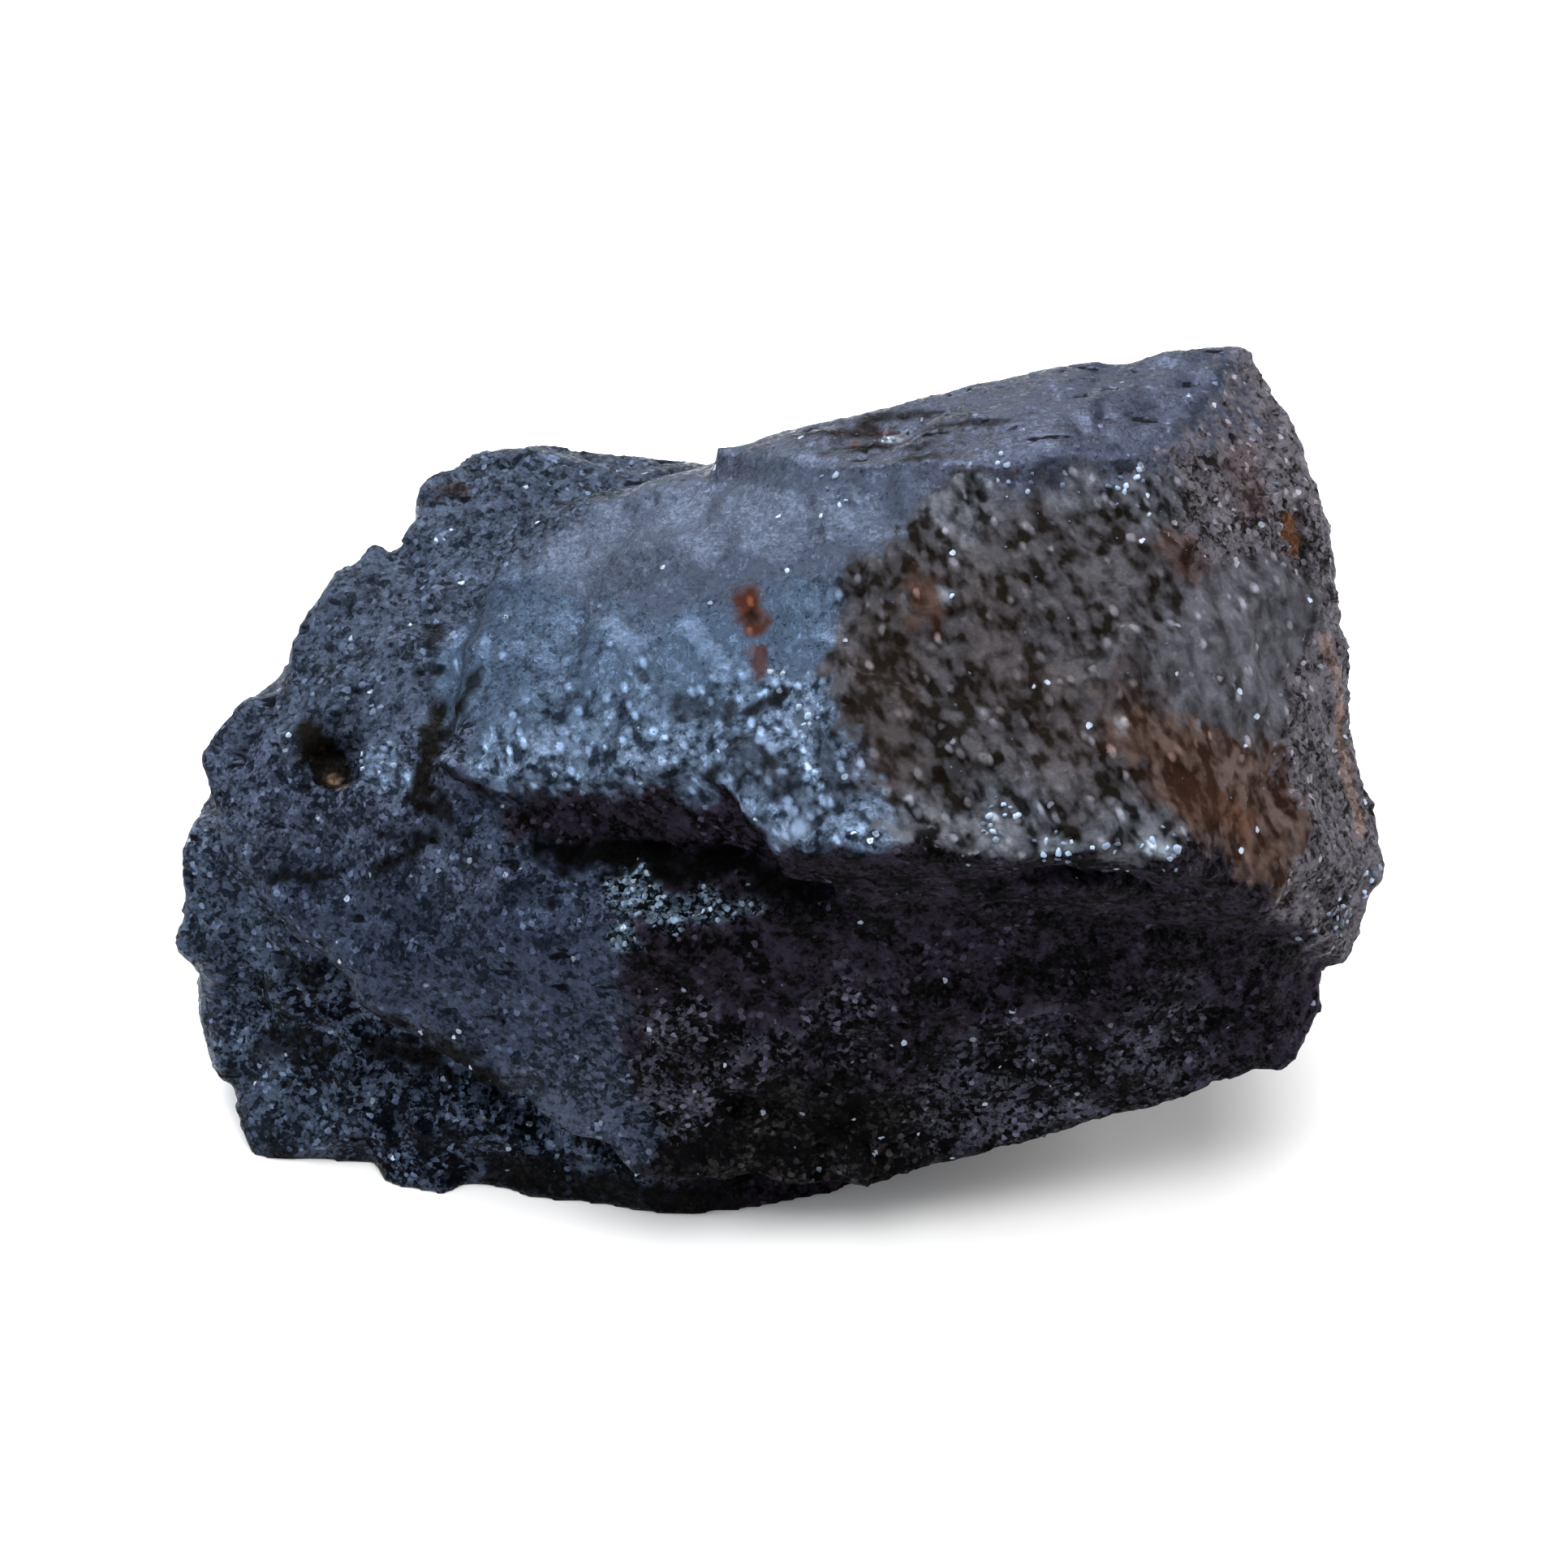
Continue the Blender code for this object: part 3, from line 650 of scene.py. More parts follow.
PATCHES = [
    # The flat cap and the break in it
    Patch(Zone.CAP, (16.0, 7.5, 39.6), (-0.07, 0.2, 0.97), 8.0),
    Patch(Zone.CAP, (6.0, 9.5, 37.0), (-0.1, 0.1, 1.0), 6.0),
    Patch(Zone.CAP, (23.5, 9.5, 39.0), (0.1, 0.2, 0.97), 5.5),
    Patch(Zone.CAP, (-2.0, 9.5, 34.4), (-0.3, 0.0, 0.95), 3.0),
    Patch(Zone.CRACKED, (4.4, 7.6, 36.6), (-0.1, 0.2, 0.97), 3.2),
    Patch(Zone.CRACKED, (9.6, 6.4, 38.5), (-0.1, 0.2, 0.97), 3.0),
    Patch(Zone.BROKEN, (5.4, 8.2, 36.7), (-0.1, 0.1, 1.0), 1.9),
    Patch(Zone.BROKEN, (5.8, 6.4, 37.2), (-0.2, 0.2, 0.97), 0.9),
    Patch(Zone.BROKEN, (7.4, 9.5, 37.0), (-0.2, 0.2, 0.97), 0.9),
    # The smooth cheek and the upper edge of the roof
    Patch(Zone.CHEEK, (-0.5, 3.7, 34.9), (-0.4, -0.1, 0.9), 6.0),
    Patch(Zone.CHEEK, (5.5, 1.5, 37.0), (-0.35, -0.25, 0.9), 2.4),
    Patch(Zone.CHEEK, (-7.0, 3.4, 31.8), (-0.35, -0.2, 0.9), 5.0),
    Patch(Zone.FROSTED, (10.2, 0.2, 38.0), (0.0, -0.38, 0.93), 2.0),
    Patch(Zone.FROSTED, (16.6, 0.9, 38.7), (0.0, -0.38, 0.93), 2.0),
    Patch(Zone.FROSTED, (21.0, 0.9, 38.4), (0.2, -0.4, 0.9), 2.0),
    # The shining lower part of the cheek
    Patch(Zone.SHEEN, (-14.0, -0.5, 28.0), (-0.35, -0.2, 0.9), 4.0),
    Patch(Zone.SHEEN, (-9.5, -1.8, 29.6), (-0.35, -0.3, 0.9), 4.0),
    Patch(Zone.DAPPLED, (-12.0, -4.6, 27.8), (-0.35, -0.3, 0.9), 3.4),
    Patch(Zone.DAPPLED, (-7.5, -5.4, 29.8), (-0.35, -0.3, 0.9), 3.2),
    Patch(Zone.SHEEN, (-4.5, -3.4, 31.4), (-0.35, -0.3, 0.9), 2.8),
    Patch(Zone.DAPPLED, (-2.5, -6.2, 30.9), (-0.35, -0.3, 0.9), 2.6),
    Patch(Zone.DAPPLED, (2.8, -2.5, 34.4), (-0.4, -0.3, 0.85), 1.9),
    Patch(Zone.SHEEN, (1.2, -3.5, 33.4), (-0.4, -0.3, 0.85), 2.9),
    # The glittering lip of the cheek
    Patch(Zone.BRIGHT, (-8.5, -8.3, 28.0), (-0.4, -0.5, 0.76), 2.8),
    Patch(Zone.BRIGHT, (-12.5, -7.0, 26.6), (-0.4, -0.4, 0.8), 2.6),
    Patch(Zone.BRIGHT, (-4.5, -9.3, 29.2), (-0.35, -0.45, 0.8), 2.6),
    Patch(Zone.BRIGHT, (1.2, -8.6, 31.4), (-0.45, -0.4, 0.7), 2.3),
    Patch(Zone.BRIGHT, (1.0, -12.2, 29.9), (-0.3, -0.4, 0.85), 3.0),
    Patch(Zone.BRIGHT, (3.7, -12.6, 30.9), (-0.3, -0.35, 0.88), 2.0),
    Patch(Zone.BRIGHT, (4.6, -14.8, 30.0), (0.0, -0.5, 0.85), 1.8),
    # The sloping roof and its front rim
    Patch(Zone.ROOF, (5.4, -3.3, 35.5), (-0.6, -0.25, 0.76), 2.4),
    Patch(Zone.ROOF, (5.0, -7.3, 33.5), (0.0, -0.1, 1.0), 2.2),
    Patch(Zone.ROOF, (13.0, -7.4, 34.6), (-0.11, -0.46, 0.88), 8.0),
    Patch(Zone.ROOF, (8.5, -2.6, 36.7), (-0.1, -0.45, 0.88), 2.8),
    Patch(Zone.ROOF, (17.0, -2.5, 37.2), (-0.1, -0.46, 0.88), 4.5),
    Patch(Zone.ROOF, (8.2, -11.8, 32.0), (-0.15, -0.45, 0.88), 3.8),
    Patch(Zone.ROOF, (17.0, -13.2, 32.0), (0.0, -0.46, 0.88), 3.6),
    Patch(Zone.FROSTED, (12.1, -15.6, 30.7), (-0.05, -0.42, 0.9), 2.6),
    Patch(Zone.FROSTED, (7.4, -14.6, 30.3), (-0.15, -0.42, 0.9), 1.7),
    Patch(Zone.FROSTED, (18.5, -16.2, 30.6), (0.0, -0.5, 0.86), 2.0),
    # The right end of the roof, with its rust, and the right side
    Patch(Zone.ASHEN, (22.6, -7.0, 33.8), (0.5, -0.45, 0.74), 3.0),
    Patch(Zone.ASHEN, (25.8, -6.0, 32.3), (0.55, -0.35, 0.75), 3.6),
    Patch(Zone.ASHEN, (27.6, -2.0, 32.6), (0.6, -0.4, 0.7), 3.4),
    Patch(Zone.RUSTY, (18.8, -11.8, 32.8), (0.3, -0.45, 0.84), 1.7),
    Patch(Zone.RUSTY, (22.0, -12.1, 31.3), (0.42, -0.47, 0.78), 2.5),
    Patch(Zone.RUSTY, (25.4, -11.4, 28.9), (0.65, -0.4, 0.64), 2.8),
    Patch(Zone.RUSTY, (27.0, -12.9, 26.2), (0.5, -0.5, 0.7), 2.4),
    Patch(Zone.BLUSH, (28.6, -13.2, 22.6), (0.5, -0.7, 0.5), 2.4),
    Patch(Zone.BLUSH, (26.0, 4.0, 37.0), (0.63, -0.25, 0.73), 4.5),
    Patch(Zone.BLUSH, (27.5, 10.0, 37.0), (0.6, 0.0, 0.8), 4.5),
    Patch(Zone.BLUSH, (24.0, 1.5, 37.8), (0.5, -0.3, 0.8), 3.0),
    Patch(Zone.BLUSH, (31.0, -10.0, 20.5), (0.7, -0.5, 0.3), 4.4),
    Patch(Zone.BLUSH, (32.0, -3.0, 25.0), (0.85, -0.3, 0.4), 6.0),
    Patch(Zone.BLUSH, (30.5, 4.0, 27.0), (0.95, 0.1, 0.1), 8.0),
    # The shoulder and what lies behind it
    Patch(Zone.SHOULDER, (-22.5, 7.7, 25.1), (-0.3, 0.0, 0.95), 5.0),
    Patch(Zone.SHOULDER, (-17.4, 13.6, 27.9), (-0.3, 0.0, 0.95), 5.0),
    Patch(Zone.SHOULDER, (-24.4, 1.0, 23.4), (-0.3, 0.0, 0.95), 4.0),
    Patch(Zone.SHOULDER, (-30.0, 3.0, 21.0), (-0.3, 0.0, 0.95), 4.0),
    Patch(Zone.SHOULDER, (-12.0, 13.0, 29.0), (-0.3, 0.2, 0.95), 4.0),
    Patch(Zone.SHOULDER, (-14.0, 20.0, 16.0), (-0.2, 0.97, 0.1), 12.0),
    Patch(Zone.SHOULDER, (-32.0, 10.0, 12.0), (-0.8, 0.5, 0.1), 8.0),
    # The silver grains by the pit, the flank and the back
    Patch(Zone.BRIGHT, (-22.7, -3.6, 22.6), (-0.45, -0.5, 0.72), 1.0),
    Patch(Zone.BRIGHT, (-21.3, -4.6, 22.6), (-0.4, -0.5, 0.75), 1.0),
    Patch(Zone.DUSTY, (-18.1, -4.6, 24.3), (-0.4, -0.3, 0.85), 1.4),
    Patch(Zone.DUSTY, (-29.7, -3.4, 18.4), (-0.52, -0.38, 0.76), 4.2),
    Patch(Zone.DUSTY, (-22.6, -6.5, 20.0), (-0.4, -0.5, 0.76), 3.2),
    Patch(Zone.FLANK, (-24.1, -9.8, 16.3), (-0.45, -0.65, 0.61), 4.5),
    Patch(Zone.FLANK, (-15.0, -13.7, 17.0), (-0.37, -0.83, 0.41), 6.0),
    Patch(Zone.DUSTY, (-17.2, -10.8, 19.6), (-0.37, -0.7, 0.6), 2.4),
    Patch(Zone.DUSTY, (-11.0, -17.0, 9.0), (-0.37, -0.83, 0.41), 3.3),
    Patch(Zone.FLANK, (10.0, 19.0, 22.0), (0.1, 0.95, 0.25), 12.0),
    Patch(Zone.FLANK, (12.0, 17.0, 8.0), (0.1, 0.95, -0.2), 10.0),
    # The ledge of pale grit
    Patch(Zone.GRITTY, (-7.4, -12.6, 21.6), (-0.1, -0.5, 0.85), 1.0),
    Patch(Zone.GRITTY, (-5.6, -14.2, 21.6), (-0.05, -0.5, 0.85), 1.2),
    Patch(Zone.GRITTY, (-3.4, -13.6, 21.7), (0.0, -0.4, 0.9), 1.0),
    Patch(Zone.GRITTY, (-8.1, -15.0, 20.1), (-0.3, -0.9, 0.2), 0.9),
    Patch(Zone.GRITTY, (-1.4, -13.9, 21.7), (0.0, -0.4, 0.9), 0.7),
    # The underside of the lip, and painted shadow in the gap under it
    Patch(Zone.WALL, (-13.6, -8.6, 23.2), (-0.25, -0.7, 0.6), 1.0),
    Patch(Zone.WALL, (-11.0, -8.3, 24.0), (-0.2, -1.0, -0.1), 2.4),
    Patch(Zone.WALL, (-6.0, -9.8, 25.0), (-0.2, -1.0, -0.1), 2.6),
    Patch(Zone.WALL, (-1.5, -12.0, 25.5), (-0.2, -1.0, -0.1), 2.6),
    Patch(Zone.WALL, (3.0, -14.5, 25.5), (-0.1, -1.0, -0.2), 2.6),
    Patch(Zone.SOOTY, (-11.0, -8.5, 22.0), (0.0, -0.2, 1.0), 2.0),
    Patch(Zone.SOOTY, (-7.5, -9.0, 22.0), (0.0, -0.2, 1.0), 2.2),
    Patch(Zone.SOOTY, (-3.5, -9.5, 22.3), (0.0, -0.2, 1.0), 2.2),
    Patch(Zone.SOOTY, (0.0, -11.5, 23.0), (0.0, -0.2, 1.0), 2.0),
    # The front wall, the base and the lower right
    Patch(Zone.WALL, (0.0, -16.0, 17.7), (0.0, -0.96, 0.28), 7.0),
    Patch(Zone.WALL, (10.0, -16.2, 19.0), (0.0, -0.96, 0.28), 9.0),
    Patch(Zone.WALL, (20.0, -15.9, 18.0), (0.0, -0.96, 0.28), 8.0),
    Patch(Zone.WALL, (26.0, -15.0, 13.5), (0.2, -0.96, 0.2), 5.0),
    Patch(Zone.WALL, (10.0, -12.0, 3.0), (0.0, -0.6, -0.8), 10.0),
    Patch(Zone.WALL, (0.0, 0.0, 0.0), (0.0, 0.0, -1.0), 30.0),
    Patch(Zone.OLIVE, (1.0, -18.3, 8.6), (0.0, -0.96, 0.25), 3.6),
    Patch(Zone.OLIVE, (-2.4, -19.0, 6.0), (0.0, -0.98, 0.15), 2.4),
    Patch(Zone.OLIVE, (5.8, -18.5, 8.0), (0.05, -0.93, 0.35), 3.2),
    Patch(Zone.SPECKLED, (-4.6, -16.9, 15.2), (-0.15, -0.95, 0.25), 2.3),
    Patch(Zone.SPECKLED, (-4.8, -18.0, 11.3), (-0.15, -0.94, 0.29), 2.7),
    Patch(Zone.SPECKLED, (-0.5, -17.6, 14.1), (0.0, -0.96, 0.29), 2.6),
    Patch(Zone.SPECKLED, (13.5, -17.5, 11.5), (0.05, -0.98, 0.1), 5.5),
    Patch(Zone.SPECKLED, (21.5, -16.0, 13.0), (0.1, -0.97, 0.1), 4.5),
    Patch(Zone.SPECKLED, (4.0, -16.5, 16.0), (0.0, -0.96, 0.28), 3.5),
    Patch(Zone.OLIVE, (28.0, 10.0, 14.0), (0.9, 0.3, -0.2), 9.0),
    # The foot
    Patch(Zone.CRUST, (-32.2, -7.2, 12.6), (-0.3, -0.8, 0.5), 4.5),
    Patch(Zone.CRUST, (-32.6, -4.6, 16.4), (-0.3, -0.6, 0.75), 2.6),
    Patch(Zone.CRUST, (-30.0, -11.2, 5.2), (-0.3, -0.9, 0.3), 3.4),
    Patch(Zone.CRUST, (-25.0, -13.8, 2.8), (-0.1, -0.94, 0.35), 2.6),
    Patch(Zone.FOOT, (-27.0, -11.0, 7.5), (-0.24, -0.94, 0.23), 4.4),
    Patch(Zone.FOOT, (-20.5, -14.5, 4.0), (-0.24, -0.94, 0.23), 5.5),
    Patch(Zone.FOOT, (-13.4, -16.3, 2.0), (-0.2, -0.94, 0.1), 5.0),
    Patch(Zone.CRUST, (-34.5, -2.0, 9.0), (-1.0, 0.0, 0.1), 6.0),
]

STAINS = [
    # Rust on the cheek
    Stain((-1.4, -1.6, 33.2), (-1.0, -2.9, 32.7), 0.75, Tint.RUST),
    Stain((-1.1, -2.4, 32.9), (-1.0, -2.7, 32.8), 0.35, Tint.BLACK, 0.9),
    Stain((-0.8, -4.3, 32.2), (-0.5, -5.8, 31.6), 0.4, Tint.RUST, 0.8),
    # Cracks, rust and pale grains in the cap
    Stain((1.6, 8.9, 36.0), (3.4, 8.7, 36.4), 0.42, Tint.BLACK, 0.95),
    Stain((4.1, 8.9, 36.4), (5.4, 8.6, 36.6), 0.8, Tint.UMBER, 0.9),
    Stain((4.6, 6.6, 36.9), (6.4, 6.4, 37.3), 0.55, Tint.BLACK, 0.95),
    Stain((4.5, 7.7, 36.6), (4.7, 7.6, 36.7), 0.26, Tint.ORANGE, 0.8),
    Stain((6.1, 7.9, 36.9), (7.4, 7.0, 37.3), 0.5, Tint.DEEP_RED, 0.7),
    Stain((5.6, 10.0, 36.3), (8.4, 9.4, 37.3), 0.55, Tint.BLACK, 0.9),
    Stain((7.2, 3.9, 38.8), (8.8, 3.7, 39.1), 0.4, Tint.BLACK, 0.9),
    Stain((7.7, 5.1, 38.5), (8.3, 5.0, 38.6), 0.4, Tint.BLACK, 0.8),
    Stain((8.6, 7.4, 37.8), (10.4, 6.6, 38.6), 0.4, Tint.BLACK, 0.9),
    Stain((10.4, 7.0, 38.6), (12.9, 6.4, 39.2), 0.36, Tint.BLACK, 0.8),
    Stain((8.0, 9.6, 37.4), (10.5, 9.4, 38.4), 0.36, Tint.BLACK, 0.8),
    Stain((6.5, 7.5, 37.0), (7.0, 7.4, 37.1), 0.32, Tint.PALE, 0.6),
    # Rust and pale spots on the roof
    Stain((7.9, -3.8, 36.4), (8.6, -5.2, 35.8), 1.0, Tint.RUSSET, 0.7),
    Stain((9.2, -4.1, 36.3), (9.4, -4.4, 36.1), 0.3, Tint.PALE, 0.5),
    Stain((18.5, -11.2, 33.3), (18.7, -11.5, 33.2), 0.35, Tint.PALE, 0.4),
    Stain((14.4, -17.0, 30.0), (16.2, -17.1, 30.1), 0.32, Tint.PALE, 0.5),
    Stain((19.8, -17.0, 30.0), (21.2, -17.0, 30.0), 0.38, Tint.PALE, 0.6),
    Stain((21.9, -1.5, 37.3), (23.5, -2.4, 36.4), 1.0, Tint.DULL_RUSSET, 0.45),
    Stain((22.6, -13.9, 30.0), (25.0, -12.8, 28.4), 1.1, Tint.BRIGHT_RUSSET, 0.25),
    Stain((26.5, -13.9, 26.1), (27.6, -14.0, 22.5), 1.0, Tint.WARM_RUSSET, 0.25),
    Stain((23.9, -13.4, 29.0), (25.6, -13.2, 27.4), 0.9, Tint.EMBER, 0.35),
    # The right edge
    Stain((25.8, 6.0, 37.4), (26.5, 3.0, 36.3), 1.2, Tint.ROSE_BROWN, 0.45),
    Stain((28.7, 3.3, 34.5), (28.9, 2.4, 34.0), 0.6, Tint.OCHRE, 0.8),
    Stain((29.2, 4.6, 34.6), (30.0, -0.9, 31.3), 0.34, Tint.BLACK, 0.75),
    Stain((30.8, -1.3, 29.7), (31.5, -3.3, 26.5), 0.5, Tint.BLOOM, 0.4),
    Stain((31.5, -3.3, 26.5), (32.8, -8.1, 21.9), 0.5, Tint.BLOOM, 0.5),
    # Brown clouds on the roof
    Stain((6.6, -6.5, 34.0), (5.8, -12.2, 31.4), 2.0, Tint.EARTH, 0.3),
    Stain((11.6, -4.8, 36.0), (12.2, -8.5, 34.1), 1.6, Tint.EARTH, 0.22),
    Stain((15.4, -9.5, 33.8), (15.8, -12.4, 32.4), 1.5, Tint.EARTH, 0.22),
    Stain((19.2, -9.9, 33.6), (22.4, -13.6, 30.6), 2.0, Tint.RED_EARTH, 0.25),
    # The crack left of the cheek
    Stain((-16.5, -0.9, 27.0), (-17.5, -2.8, 26.2), 0.45, Tint.BLACK, 0.9),
    Stain((-17.5, -2.8, 26.2), (-18.6, -3.0, 24.1), 0.6, Tint.BLACK, 0.95),
    Stain((-18.7, -1.0, 24.2), (-19.1, -3.2, 23.8), 0.6, Tint.BLACK),
    Stain((-19.1, -3.2, 23.8), (-19.3, -5.2, 23.2), 0.75, Tint.BLACK),
    Stain((-19.3, -5.2, 23.2), (-19.6, -6.5, 22.6), 0.85, Tint.BLACK),
    Stain((-19.6, -6.5, 22.6), (-18.1, -7.3, 22.4), 0.6, Tint.BLACK, 0.9),
    # The pit in the shoulder, with two tan crystals
    Stain((-26.4, -1.6, 22.2), (-24.6, -2.9, 20.6), 1.15, Tint.SHADOW),
    Stain((-24.9, -2.9, 20.4), (-24.7, -3.1, 20.4), 0.3, Tint.TAN, 0.9),
    Stain((-24.1, -4.0, 21.1), (-24.3, -3.8, 20.9), 0.3, Tint.DULL_TAN, 0.8),
    # Cracks in the flank, dark patches on the foot, and painted shadow under the flank's rim and under the
    # front wall
    Stain((-28.4, -7.1, 16.8), (-25.0, -7.5, 17.5), 0.42, Tint.BLACK, 0.9),
    Stain((-22.3, -8.6, 19.0), (-20.4, -8.3, 19.9), 0.45, Tint.BLACK, 0.9),
    Stain((-20.1, -7.7, 20.3), (-18.8, -7.8, 21.2), 0.45, Tint.BLACK, 0.9),
    Stain((-28.0, -9.0, 11.8), (-26.2, -9.6, 10.9), 0.8, Tint.BLACK, 0.75),
    Stain((-29.2, -10.5, 6.5), (-25.8, -11.2, 6.7), 0.9, Tint.BLACK, 0.75),
    # Painted shadow: the crescent that the flank's rim casts on the foot.
    Stain((-22.5, -11.5, 7.4), (-19.5, -12.3, 6.9), 0.8, Tint.BLACK, 0.9),
    Stain((-19.5, -12.6, 7.2), (-16.5, -15.0, 8.0), 1.1, Tint.BLACK, 0.97),
    Stain((-18.8, -14.3, 10.0), (-15.7, -16.0, 8.9), 1.2, Tint.BLACK, 0.97),
    # Painted shadow: the base in the shade under the overhang of the front wall.
    Stain((-15.5, -16.0, 1.2), (-3.0, -18.5, 0.9), 1.5, Tint.BLACK, 0.9),
    # Cracks and a brown spot on the shoulder
    Stain((-14.4, 11.7, 28.2), (-12.0, 10.0, 29.8), 0.25, Tint.BLACK, 0.9),
    Stain((-18.8, 1.0, 25.2), (-21.3, 1.1, 24.2), 0.35, Tint.BLACK, 0.8),
    Stain((-19.3, 3.6, 25.8), (-19.2, 3.0, 25.6), 0.6, Tint.BLACK, 0.9),
    Stain((-19.8, 13.0, 27.0), (-18.0, 13.2, 27.6), 0.7, Tint.BROWN, 0.7),
    # Black seams and silver spots on the lip
    Stain((0.7, -7.3, 31.7), (-1.2, -7.5, 30.7), 0.4, Tint.BLACK, 0.9),
    Stain((-1.2, -7.5, 30.7), (-2.4, -7.3, 30.4), 0.35, Tint.BLACK, 0.6),
    Stain((-3.2, -10.4, 28.8), (-3.3, -11.0, 28.0), 0.5, Tint.BLACK, 0.9),
    Stain((1.6, -8.9, 31.3), (1.3, -9.4, 31.0), 0.6, Tint.SILVER, 0.6),
    Stain((0.7, -15.0, 28.7), (1.6, -14.8, 29.2), 0.55, Tint.SILVER, 0.6),
    Stain((0.4, -11.2, 30.0), (2.2, -14.0, 29.4), 0.9, Tint.BLACK, 0.5),
    Stain((3.0, -10.6, 31.2), (3.6, -13.6, 30.3), 0.8, Tint.BLACK, 0.4),
    Stain((-1.6, -9.6, 29.6), (0.0, -12.4, 29.2), 1.2, Tint.BLACK, 0.5),
    Stain((-2.4, -7.3, 30.4), (-4.8, -6.6, 29.8), 0.7, Tint.BLACK, 0.45),
    Stain((-4.8, -6.6, 29.8), (-7.0, -4.4, 30.0), 0.6, Tint.BLACK, 0.25),
]
CLUSTERS = [
    # On the cap and the cheek
    Cluster((12.5, 2.3, 39.9), 0.6, 0.8),
    Cluster((13.4, 1.5, 39.2), 0.7, 0.8),
    Cluster((16.1, 1.3, 38.9), 0.5, 0.7),
    Cluster((18.8, 1.2, 39.0), 0.7, 0.8),
    Cluster((19.7, 2.0, 39.2), 0.6, 0.7),
    Cluster((6.7, 7.4, 37.0), 0.7, 1.0),
    Cluster((7.6, 8.0, 37.2), 0.5, 1.0),
    Cluster((8.3, 9.0, 37.2), 0.4, 0.9),
    Cluster((3.4, 4.5, 36.7), 0.6, 1.0),
    Cluster((3.8, 2.9, 36.5), 0.4, 0.9),
    # On the roof and its front rim
    Cluster((9.3, -4.1, 36.2), 0.5, 1.0),
    Cluster((15.2, -17.2, 29.9), 1.0, 1.0),
    Cluster((17.5, -17.2, 30.3), 0.8, 0.7),
    Cluster((20.9, -17.4, 30.3), 1.2, 1.0),
    Cluster((12.4, -15.9, 30.6), 1.3, 0.8),
    # On the lip
    Cluster((1.9, -8.9, 31.5), 0.9, 0.8),
    Cluster((-12.2, -7.9, 26.2), 0.9, 0.2),
    Cluster((-9.9, -8.5, 26.9), 1.1, 0.2),
    Cluster((-15.5, -6.4, 25.6), 0.9, 0.2),
    Cluster((-7.6, -9.5, 27.9), 0.8, 0.2),
    # By the pit in the shoulder, on the right edge and on the ledge
    Cluster((-27.3, -1.2, 22.4), 0.6, 0.8),
    Cluster((-22.8, -3.4, 22.6), 0.8, 0.8),
    Cluster((-21.5, -4.4, 22.6), 0.8, 0.7),
    Cluster((27.9, 4.8, 35.9), 0.6, 0.7),
    Cluster((33.2, -9.8, 19.5), 1.6, 0.6),
    Cluster((31.6, -12.1, 18.8), 1.4, 0.5),
    Cluster((-8.2, -14.6, 20.0), 0.7, 1.0),
]


def deselect_all() -> None:
    """Leave nothing selected, so that an operator acts only on what is selected next."""
    bpy.ops.object.select_all(action="DESELECT")


def take(piece: bpy.types.Object) -> None:
    """Make a piece the only one selected, and the active one."""
    deselect_all()
    piece.select_set(True)
    bpy.context.view_layer.objects.active = piece


def apply(piece: bpy.types.Object, modifier: bpy.types.Modifier) -> None:
    """Make a modifier part of the piece's mesh."""
    take(piece)
    bpy.ops.object.modifier_apply(modifier=modifier.name)


def triangle_count(piece: bpy.types.Object) -> int:
    """Count the triangles of a piece's mesh."""
    return sum(len(face.vertices) - 2 for face in piece.data.polygons)


